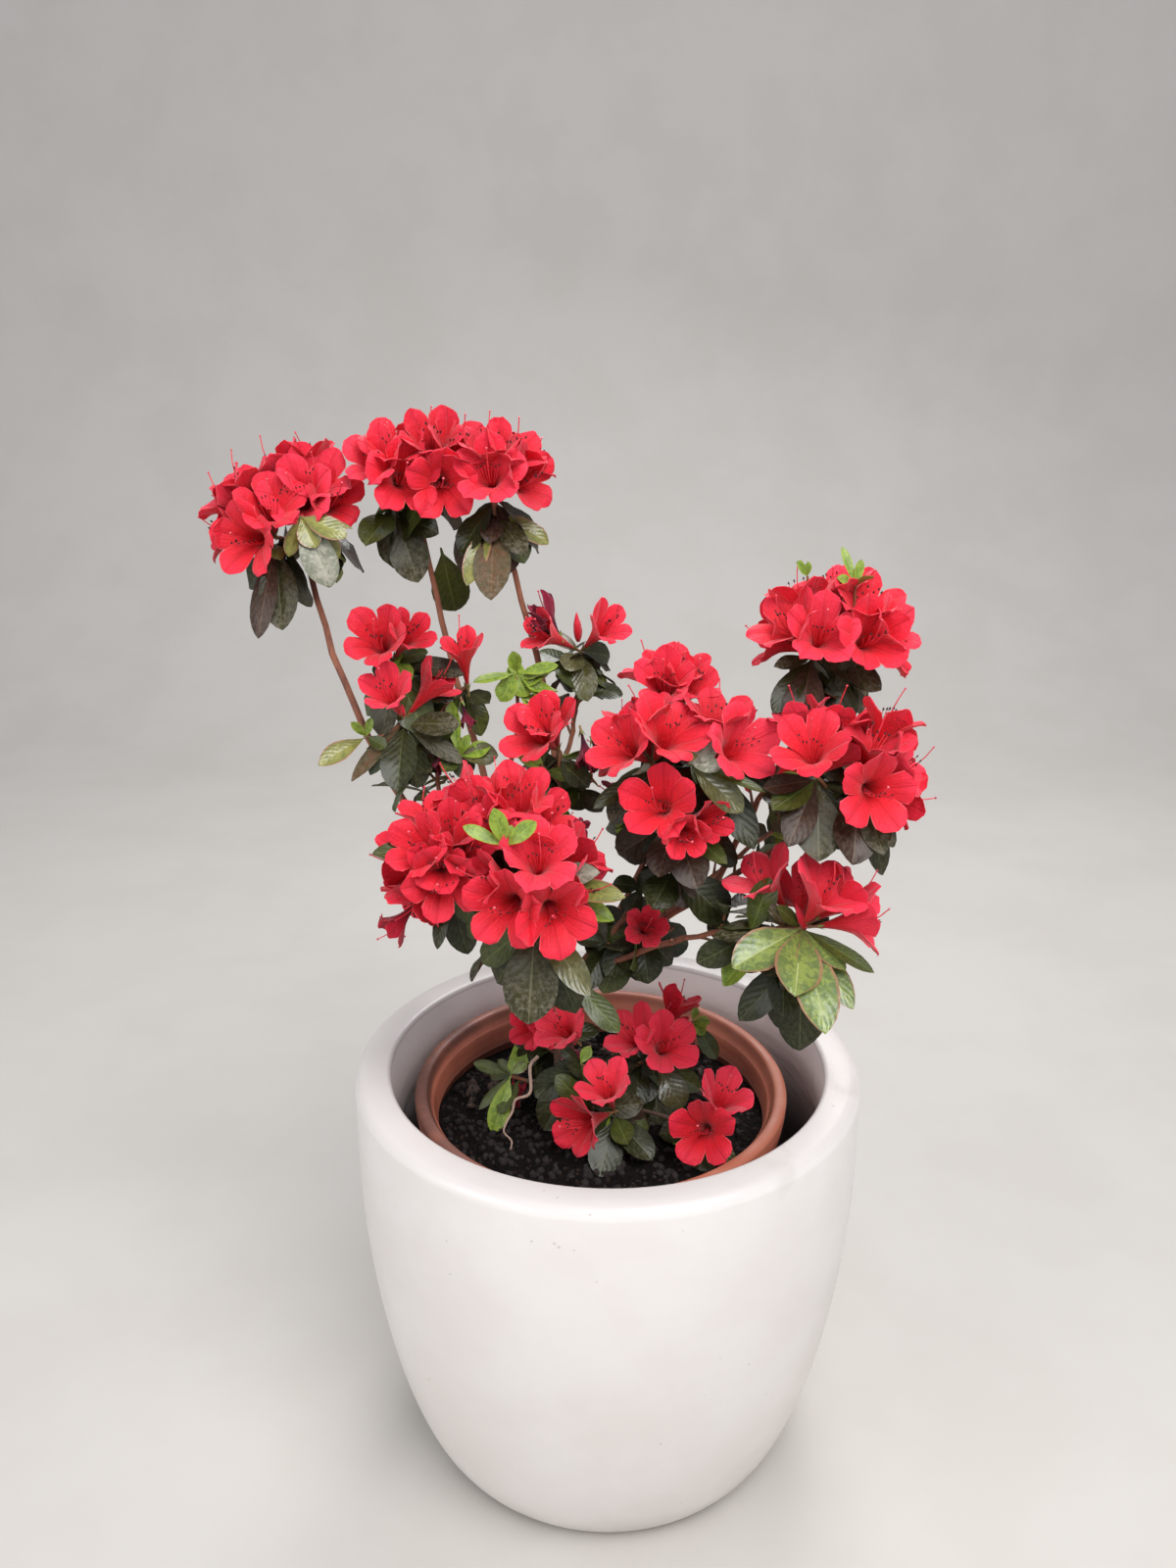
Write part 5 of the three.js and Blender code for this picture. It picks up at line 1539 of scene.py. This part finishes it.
def tube(path, radii, sides):
    """Points and faces of a closed tube along a path, in millimetres."""
    path = np.asarray(path, float)
    ways = np.gradient(path, axis=0)
    ways /= np.linalg.norm(ways, axis=1, keepdims=True) + 1e-9
    side = np.cross(ways[0], SIDEWAYS)
    turns = np.arange(sides)[:, None] * 2 * math.pi / sides
    points = []
    for point, way, radius in zip(path, ways, radii):
        side = unit(side - way * (side @ way))
        points.append(point + radius * (np.cos(turns) * side + np.sin(turns) * np.cross(way, side)))
    return np.concatenate(points), tube_faces(len(path), sides)


def tube_faces(rings, sides):
    """Quads between rings of points, and the two end faces."""
    faces = [[i * sides + j, i * sides + (j + 1) % sides, (i + 1) * sides + (j + 1) % sides,
              (i + 1) * sides + j] for i in range(rings - 1) for j in range(sides)]
    return faces + [list(range(sides))[::-1], [(rings - 1) * sides + j for j in range(sides)]]


def bead(centre, way, length, width):
    """A four-sided spindle."""
    ring = [(math.cos(a), math.sin(a), 0) for a in np.arange(4) * math.pi / 2]
    points = np.array([(0, 0, -1), *ring, (0, 0, 1)]) * (width, width, length)
    foot = [[0, 1 + (j + 1) % 4, 1 + j] for j in range(4)]
    tip = [[5, 1 + j, 1 + (j + 1) % 4] for j in range(4)]
    return points @ basis(unit(way), SIDEWAYS).T + centre, foot + tip


# %% Fill the blooms
STAMENS = 7
SEPAL_TURN = 1.2566  # a fifth of a turn, in radians


def filament_path(bloom, across, down, reach, t):
    """A path from the funnel's foot to its reach, in the bloom's own place."""
    rise = bloom["length"] * 0.2 + (reach - bloom["length"] * 0.2) * t
    return np.stack([across, down, rise], 1) @ bloom["matrix"].T + bloom["place"]


def fill_bloom(bloom, rng):
    """The stamens, which a spent bloom has lost, and the style."""
    length, radius = bloom["length"], bloom["radius"]
    t = np.linspace(0, 1, 5)
    for share in [] if bloom["look"] in SPENT_LOOKS else np.linspace(-1, 1, STAMENS):
        reach = length * rng.uniform(0.80, 1.02)
        lean = radius * (0.05 + 0.1 * (1 - share ** 2) * rng.uniform(-1, 0.6)) * t ** 3
        path = filament_path(bloom, radius * 0.26 * share * t ** 1.4 + 0.5 * share,
                             -radius * 0.13 * np.sin(math.pi * t * 0.9) + lean, reach, t)
        stamens.add(*tube(path, 0.30 - 0.1 * t, 3), 0)
        stamens.add(*bead(path[-1], path[-1] - path[-2], 1.15, 0.62), 1)
    t = np.linspace(0, 1, 8)
    reach = length * rng.uniform(1.12, 1.28)
    path = filament_path(bloom, radius * rng.uniform(-0.05, 0.05) * t,
                         -radius * 0.16 * np.sin(math.pi * t * 0.85) + radius * 0.30 * t ** 3, reach, t)
    stamens.add(*tube(path, 0.42 - 0.1 * t, 4), 0)
    stamens.add(*bead(path[-1], path[-1] - path[-2], 0.7, 0.8), 2)


def add_calyx(bloom):
    """The end of the stalk, and five small sepals round the funnel's foot."""
    length, turn, place = bloom["length"], bloom["matrix"], bloom["place"]
    foot = np.array([(0, 0, share * length) for share in (-0.04, 0.06, 0.13, 0.2)]) @ turn.T + place
    stalks.add(*tube(foot, [0.75, 0.75, 1.3, 0.9], 6), 0)
    for k in range(PETALS):
        angle = k * SEPAL_TURN + 0.3
        out = np.array((math.cos(angle), math.sin(angle), 0.0))
        side = np.array((-math.sin(angle), math.cos(angle), 0.0))
        start = np.array((0, 0, 0.11 * length))
        outline = ((0.9, -0.6, 0), (0.9, 0.6, 0), (1.9, 0.5, 2.2), (2.3, 0, 3.6), (1.9, -0.5, 2.2))
        sepal = [start + out * away + side * beside + (0, 0, up) for away, beside, up in outline]
        stalks.add(np.array(sepal) @ turn.T + place, [[0, 1, 2, 3, 4]], 1)


for number, bloom in enumerate(BLOOMS):
    fill_bloom(bloom, np.random.default_rng(900 + number))
    add_calyx(bloom)

# %% Buds and the dry tendril
# Buds: the foot's place and its y, the tip's place, length and radius. The tendril: places and y.
BUDS = [
    ((590, 655, 40), (588, 622), 17, 2.7),
    ((822, 948, -76), (812, 922), 15, 2.6),
    ((600, 800, -8), (604, 786), 8, 2.0),
    ((412, 735, -15), (410, 716), 9, 2.2),
]
TENDRIL = [(549, 1078, -20), (541, 1088, -24), (542, 1110, -28), (538, 1118, -30), (526, 1122, -33),
           (523, 1134, -36), (517, 1145, -38), (514, 1155, -41), (522, 1164, -44), (521, 1173, -46)]
BUD_SIDES = 8
BUD_SHAPE = ((0, 0.35), (0.15, 0.8), (0.35, 1.0), (0.6, 0.9), (0.82, 0.5), (1.0, 0.06))


def bud(foot, way, length, radius):
    """A pointed bud, its petals wound round each other."""
    points, uvs = [], []
    for share, girth in BUD_SHAPE:
        turns = np.arange(BUD_SIDES) * 2 * math.pi / BUD_SIDES + share * 1.4
        wide = radius * girth * (1 + 0.14 * np.cos(2.5 * turns))
        level = np.full(BUD_SIDES, share * length)
        points.append(np.stack([wide * np.cos(turns), wide * np.sin(turns), level], 1))
        uvs += [(0.3 + 0.4 * (k % 2), 0.55 + 0.4 * share) for k in range(BUD_SIDES)]
    points = np.concatenate(points) @ basis(unit(way), SIDEWAYS).T + foot
    return points, tube_faces(len(BUD_SHAPE), BUD_SIDES), np.array(uvs)


for foot, tip, length, radius in BUDS:
    foot = seen_at(*foot)
    points, faces, uvs = bud(foot, aimed(foot, *tip, length), length, radius)
    petals[2].add(points, faces, 0, uvs)
bends = through([seen_at(*place) for place in TENDRIL], np.linspace(0, 1, 28))
stalks.add(*tube(bends, np.linspace(1.1, 0.45, 28), 5), 2)

# %% The materials of the stalks and stamens
stalk_looks = [
    plain_look("stalk_green", "86764a", "8c4d3a", 150.0, roughness=0.55),
    plain_look("calyx_green", "7d8f3d", "5f6f33", 200.0, roughness=0.55),
    plain_look("dry_stalk", "b59a88", "8d6f60", 260.0, roughness=0.7),
]
stamen_looks = [
    plain_look("filament_red", "e0404c", "c21f2e", 300.0),
    plain_look("anther_dark", "2b0d16", "5d3a33", 900.0, amount=0.7, roughness=0.8),
    plain_look("stigma", "c92a45", "e06a70", 500.0, roughness=0.4),
]

# %% [markdown]
# ## The leaves
# Azalea leaves are oval and blunt, folded a little along a sunk pale midrib, arched downwards, and
# quilted between their side veins. Old ones are dark grey-green and dusty, young ones yellow-green
# or olive, some with a bronze edge. A few are brown or purplish. The pale ones stand partly for
# leaves that show their under sides and partly for leaves with a grey sheen from the sky, painted
# into their colour, and the glossy ones are painted a little lighter for their sheen as well. A leaf
# is a small grid with a narrow strip for its midrib, and an under side with the rib standing out.
# The quilting is relief in the finish, which follows the UV map.

# %% The leaf's grid
COLUMNS = np.array([-1, -0.52, -0.032, 0.032, 0.52, 1])
LEAF_ROWS = np.array([0, 0.09, 0.19, 0.31, 0.44, 0.57, 0.69, 0.80, 0.89, 0.96, 1.0])
LEAF_HALF = np.array([0.05, 0.09, 0.35, 0.65, 0.87, 0.99, 0.98, 0.86, 0.62, 0.31, 0.03])[:, None]
ROWS, WIDE = len(LEAF_ROWS), len(COLUMNS)
TOP_QUADS = grid_faces(ROWS, WIDE, flip=True)
rib_column = np.arange(ROWS) + ROWS * WIDE
left, right = np.arange(ROWS) * WIDE, np.arange(ROWS) * WIDE + WIDE - 1
UNDER_QUADS = np.concatenate([
    np.stack([left[:-1], rib_column[:-1], rib_column[1:], left[1:]], 1),
    np.stack([rib_column[:-1], right[:-1], right[1:], rib_column[1:]], 1)])[:, ::-1]
FOOT_FACE = [ROWS * WIDE, *range(WIDE)]
TIP_FACE = [ROWS * WIDE + ROWS - 1, *range(ROWS * WIDE - 1, ROWS * WIDE - WIDE - 1, -1)]
LEAF_FACES = [*TOP_QUADS.tolist(), *UNDER_QUADS.tolist(), FOOT_FACE, TIP_FACE]
RIB_STANDS_OUT = 0.55


def leaf_blade(length, width, rng, arch, fold, curl):
    """Points and UVs of one leaf along +Z, its upper side to +Y."""
    v, u = LEAF_ROWS[:, None], COLUMNS[None]
    half = LEAF_HALF * width / 2
    bend = np.radians(arch) * LEAF_ROWS ** 1.25
    steps = np.diff(LEAF_ROWS, prepend=0) * length
    z = np.cumsum(np.cos(bend) * steps)[:, None]
    y = -np.cumsum(np.sin(bend) * steps)[:, None]
    phase = rng.uniform(0, 6.28, 2)
    x = u * half
    across = np.abs(u)
    raised = fold * across * half - 0.22 * fold * across ** 3 * half - curl * across ** 4 * half
    edge_wave = 0.035 * width * np.sin(v * 11 + phase[0]) * across ** 1.5
    raised = raised + edge_wave * (half > 1) * np.sign(u)
    raised = raised + 0.02 * width * np.sin(v * 17 + phase[1]) * across
    twist = np.radians(rng.normal(0, 9)) * v
    up_z, up_y = np.sin(bend)[:, None], np.cos(bend)[:, None]
    top = np.stack([x * np.cos(twist), y + raised * up_y + x * np.sin(twist), z + raised * up_z], -1)
    rib = np.stack([0 * v, y - RIB_STANDS_OUT * up_y - 0.1, z - RIB_STANDS_OUT * up_z], -1)[:, 0]
    uvs = np.stack(np.broadcast_arrays(u * 0.5 + 0.5, v), -1).reshape(-1, 2)
    rib_uvs = np.stack([0 * LEAF_ROWS + 0.5, LEAF_ROWS], 1)
    return np.concatenate([top.reshape(-1, 3), rib]), np.concatenate([uvs, rib_uvs])


# %% The leaf group
lamina, given, made = new_group(
    "leaf_lamina",
    {"Colour": ("Color", (0.1, 0.2, 0.05, 1)), "Second": ("Color", (0.1, 0.1, 0.05, 1)),
     "Edge": ("Color", (0.3, 0.1, 0.05, 1)), "Edging": ("Float", 0.0), "Dust": ("Float", 0.3),
     "Patches": ("Float", 0.4)},
    {"Colour": "Color", "Height": "Float", "Dust": "Float"},
)
uv = add(lamina, "ShaderNodeUVMap", uv_map="blade").outputs[0]
parts = add(lamina, "ShaderNodeSeparateXYZ", {0: uv}).outputs
away = math_node(lamina, "ABSOLUTE", math_node(lamina, "SUBTRACT", parts["X"], 0.5))
slant = math_node(lamina, "SUBTRACT", times(lamina, parts["Y"], 8.5), times(lamina, away, 5.0))
offset = math_node(lamina, "SUBTRACT", math_node(lamina, "FRACT", slant), 0.5)
ribs = math_node(lamina, "ABSOLUTE", offset)
place = places(lamina)[0]
blotch = noise(lamina, place, 330.0, 4.0, Distortion=0.7)
dusting = noise(lamina, place, 420.0, 3.0, Roughness=0.7)
outer = math_node(lamina, "ADD", blotch, times(lamina, away, 0.45))
patches = times(lamina, ramp(lamina, outer, 0.46, 0.74), given["Patches"])
tone = mix_colour(lamina, patches, given["Colour"], given["Second"])
side_vein = times(lamina, ramp(lamina, ribs, 0.0, 0.14, 1, 0), 0.045)
tone = mix_colour(lamina, side_vein, tone, (0.32, 0.36, 0.20, 1))
edging = times(lamina, ramp(lamina, away, 0.40, 0.495), given["Edging"])
tone = mix_colour(lamina, edging, tone, given["Edge"])
settled = times(lamina, ramp(lamina, parts["Y"], 0.45, 1.0, 0.75, 2.4), given["Dust"])
dust_mask = times(lamina, ramp(lamina, dusting, 0.40, 0.70), settled)
lamina.links.new(mix_colour(lamina, dust_mask, tone, (0.25, 0.215, 0.165, 1)), made["Colour"])
quilted = math_node(lamina, "SUBTRACT", times(lamina, ribs, 0.8), times(lamina, blotch, 0.8))
lamina.links.new(quilted, made["Height"])
lamina.links.new(dust_mask, made["Dust"])


def leaf_look(name, first, second, dust=0.3, edging=0.0, edge="8a4a35", patches=0.4, gloss=0.35,
              glow=0.0, relief=0.2, shine=0.24):
    material, shader, tree = new_material(
        name, 0.45, Subsurface_Weight=glow, Subsurface_Radius=(0.5, 1.0, 0.2),
        Subsurface_Scale=0.001, Specular_IOR_Level=shine)
    out = use_group(tree, lamina, Colour=colour(first), Second=colour(second), Edge=colour(edge),
                    Edging=edging, Dust=dust, Patches=patches)
    dress(tree, shader, out["Colour"], roughness=ramp(tree, out["Dust"], 0.0, 0.4, gloss, 0.75),
          normal=bump(tree, out["Height"], relief, 0.0006))
    return material


# Each kind of leaf: the two tones of its upper side, its midrib, its under side and its finish.
LEAF_KINDS = {
    "dusty": ("373419", "262412", "5a583f", "55543f", dict(dust=0.21, patches=0.7, relief=0.3)),
    "dark": ("292c0f", "1b1e0b", "454c2c", "4e5735",
             dict(dust=0.06, patches=0.6, gloss=0.3, relief=0.3, shine=0.26)),
    "mid": ("434b1a", "2d3411", "5f6b36", "6c7843",
            dict(dust=0.06, patches=0.6, gloss=0.28, relief=0.3, shine=0.35)),
    "fresh": ("647c27", "8a9e39", "9aa848", "94a34c",
              dict(dust=0.02, patches=0.9, glow=0.1, shine=0.35)),
    "bronzed": ("7b8a42", "53663a", "9aa368", "8f8f5a",
                dict(dust=0.05, edging=0.75, edge="a06a58", patches=0.85, gloss=0.22, relief=0.4,
                     shine=0.5)),
    "purple": ("3b261b", "281b14", "594638", "4c402e", dict(dust=0.08, patches=0.7, relief=0.3)),
    # Glossy leaves: real gloss, and a lighter tone that is partly their sheen painted into the colour.
    "glossy": ("605d39", "424124", "6e7050", "6e7854",
               dict(dust=0.05, patches=0.7, gloss=0.2, relief=0.3, shine=0.5)),
    # Pale leaves: partly paler under sides, partly the grey sheen from the sky painted into the colour.
    "pale": ("a09d8f", "666c58", "a6a592", "82856f",
             dict(dust=0.2, patches=0.8, gloss=0.3, relief=0.3)),
    "brown": ("5c4028", "484026", "6b5238", "5e4632", dict(dust=0.20, patches=0.9, gloss=0.5)),
    "olive": ("84823f", "565c2f", "8a8a50", "8a8c5c",
              dict(dust=0.04, edging=0.9, edge="9c6a55", patches=0.6, gloss=0.22, relief=0.3,
                   shine=0.5)),
}
leaf_looks = []
for name, (first, second, rib, under, rest) in LEAF_KINDS.items():
    leaf_looks += [leaf_look(f"leaf_{name}", first, second, **rest),
                   leaf_look(f"midrib_{name}", rib, first, dust=0.1, patches=0.3),
                   leaf_look(f"leaf_under_{name}", under, rib, dust=0.1, gloss=0.6)]

# %% Grow every leaf
KINDS = list(LEAF_KINDS)
# How the kinds are shared out at each mass: dusty, dark, mid, fresh, bronzed, purple.
SHARES = {
    "far_left": (3, 2, 2, 0, 1, 1), "top_left": (3, 2, 2, 0, 0, 1), "top_right": (3, 2, 2, 0, 1, 1),
    "left": (3, 3, 3, 0, 0, 0), "centre_back": (1, 3, 3, 1, 0, 0), "young_shoot": (0, 0, 1, 6, 0, 0),
    "centre": (2, 4, 3, 1, 0, 0), "right_top": (4, 2, 0, 0, 0, 2), "right": (4, 3, 0, 0, 0, 3),
    "low_right": (3, 4, 2, 1, 0, 0), "front": (4, 4, 3, 1, 0, 0), "middle": (2, 4, 2, 0, 0, 2),
    "pot_shoot": (0, 0, 2, 5, 1, 0), "pot_middle": (2, 4, 3, 1, 0, 0), "pot_right": (2, 4, 3, 1, 0, 0),
}
ELSEWHERE = (3, 4, 3, 1, 0, 1)
leaves = Gathered()
leaf_draw = draws(91)
top_looks = np.where(np.arange(len(TOP_QUADS)) % (WIDE - 1) == 2, 1, 0)
for number, leaf in enumerate(LEAVES):
    rng = np.random.default_rng(3000 + number)
    weights = np.cumsum(SHARES.get(leaf["mass"], ELSEWHERE))
    kind = int(np.searchsorted(weights / weights[-1], leaf_draw(0, 1)))
    if leaf["kind"]:
        kind = KINDS.index(leaf["kind"])
    arch = rng.uniform(5, 25) if leaf["young"] else rng.uniform(10, 48)
    fold, curl = rng.uniform(0.12, 0.45), rng.uniform(0, 0.1)
    points, uvs = leaf_blade(leaf["length"], leaf["width"], rng, arch, fold, curl)
    looks = list(kind * 3 + top_looks) + [kind * 3 + 2] * (len(LEAF_FACES) - len(TOP_QUADS))
    leaves.add(points @ leaf["matrix"].T + leaf["place"], LEAF_FACES, looks, uvs)

# %% [markdown]
# ## Joining the plant
# Each kind is made one mesh, rides on the frame's only body, and takes over from the solids that it
# stands for, if there are any.

# %% Make the pieces
young_bark = plain_look("young_bark", "8a5138", "6f5a38", 110.0, roughness=0.6, relief=(0.4, 0.0004))
twigs = made_by(sweep, path_object("twig_paths_object", twig_paths), "twigs",
                {"Sides": 7, "Relief": 0.0005, "Grain": 260.0, "Material": young_bark})
petal_pieces = [gathered.piece(f"petals_{name}", looks)
                for name, gathered, looks in zip(REDS, petals, petal_looks)]
stamen_piece = stamens.piece("stamens_and_styles", stamen_looks)
stalk_piece = stalks.piece("stalks_and_calyces", stalk_looks)
leaf_piece = leaves.piece("leaves", leaf_looks)

# %% Hand the pieces over
masses = [f"mass_{name}" for name in MASSES]
flowering = [f"mass_{name}" for name, row in MASSES.items() if any(s[2] for s in row[8])]
pieces = {
    planter: ("white_planter", ["planter"]),
    grow_pot: ("terracotta_plastic", ["grow_pot"]),
    soil_body: ("soil", ["soil"]),
    fine: ("soil", []),
    chips: ("soil", []),
    limbs: ("bark", ["trunk"] + [f"bough_{name}" for name in MASSES]),
    twigs: ("bark", []),
    **dict.fromkeys(petal_pieces, ("bloom_red", flowering)),
    stamen_piece: ("bloom_red", []),
    stalk_piece: ("leaf_green", []),
    leaf_piece: ("leaf_green", masses),
}
for piece, (slot_name, nodes) in pieces.items():
    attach(piece, "root")
    if nodes:
        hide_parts(*nodes)
print("pieces:", len(pieces), "faces:", sum(len(piece.data.polygons) for piece in pieces))

# %% [markdown]
# ## The floor
# The floor and backdrop are staging, not part of the object: one pale sheet, flat under the planter
# and bent up behind it.

# %% Lay the floor
SHEET_HALF, SHEET_FRONT, SHEET_TOP = 3.2, -2.2, 3.0  # in metres
BEND_FROM, BEND_RADIUS = 1.4, 0.8
bend = [(BEND_FROM + BEND_RADIUS * math.sin(angle), BEND_RADIUS - BEND_RADIUS * math.cos(angle))
        for angle in np.linspace(0.15, 1.57, 10)]
side_view = [(SHEET_FRONT, 0), (BEND_FROM, 0), *bend, (BEND_FROM + BEND_RADIUS, SHEET_TOP)]
verts = [(x, y, z) for y, z in side_view for x in (-SHEET_HALF, SHEET_HALF)]
strips = [[2 * i, 2 * i + 1, 2 * i + 3, 2 * i + 2] for i in range(len(side_view) - 1)]
sheet = bpy.data.meshes.new("floor")
sheet.from_pydata(verts, [], strips)
sheet.shade_smooth()
sheet.materials.append(plain_look("pale_floor", "bdb8b2", "b6b0a9", 6.0, amount=0.5, roughness=0.6))
floor = bpy.data.objects.new("floor", sheet)
scene.collection.objects.link(floor)

# %% [markdown]
# ## The end
# The view layer is brought up to date once more.

# %% Update the view layer
bpy.context.view_layer.update()
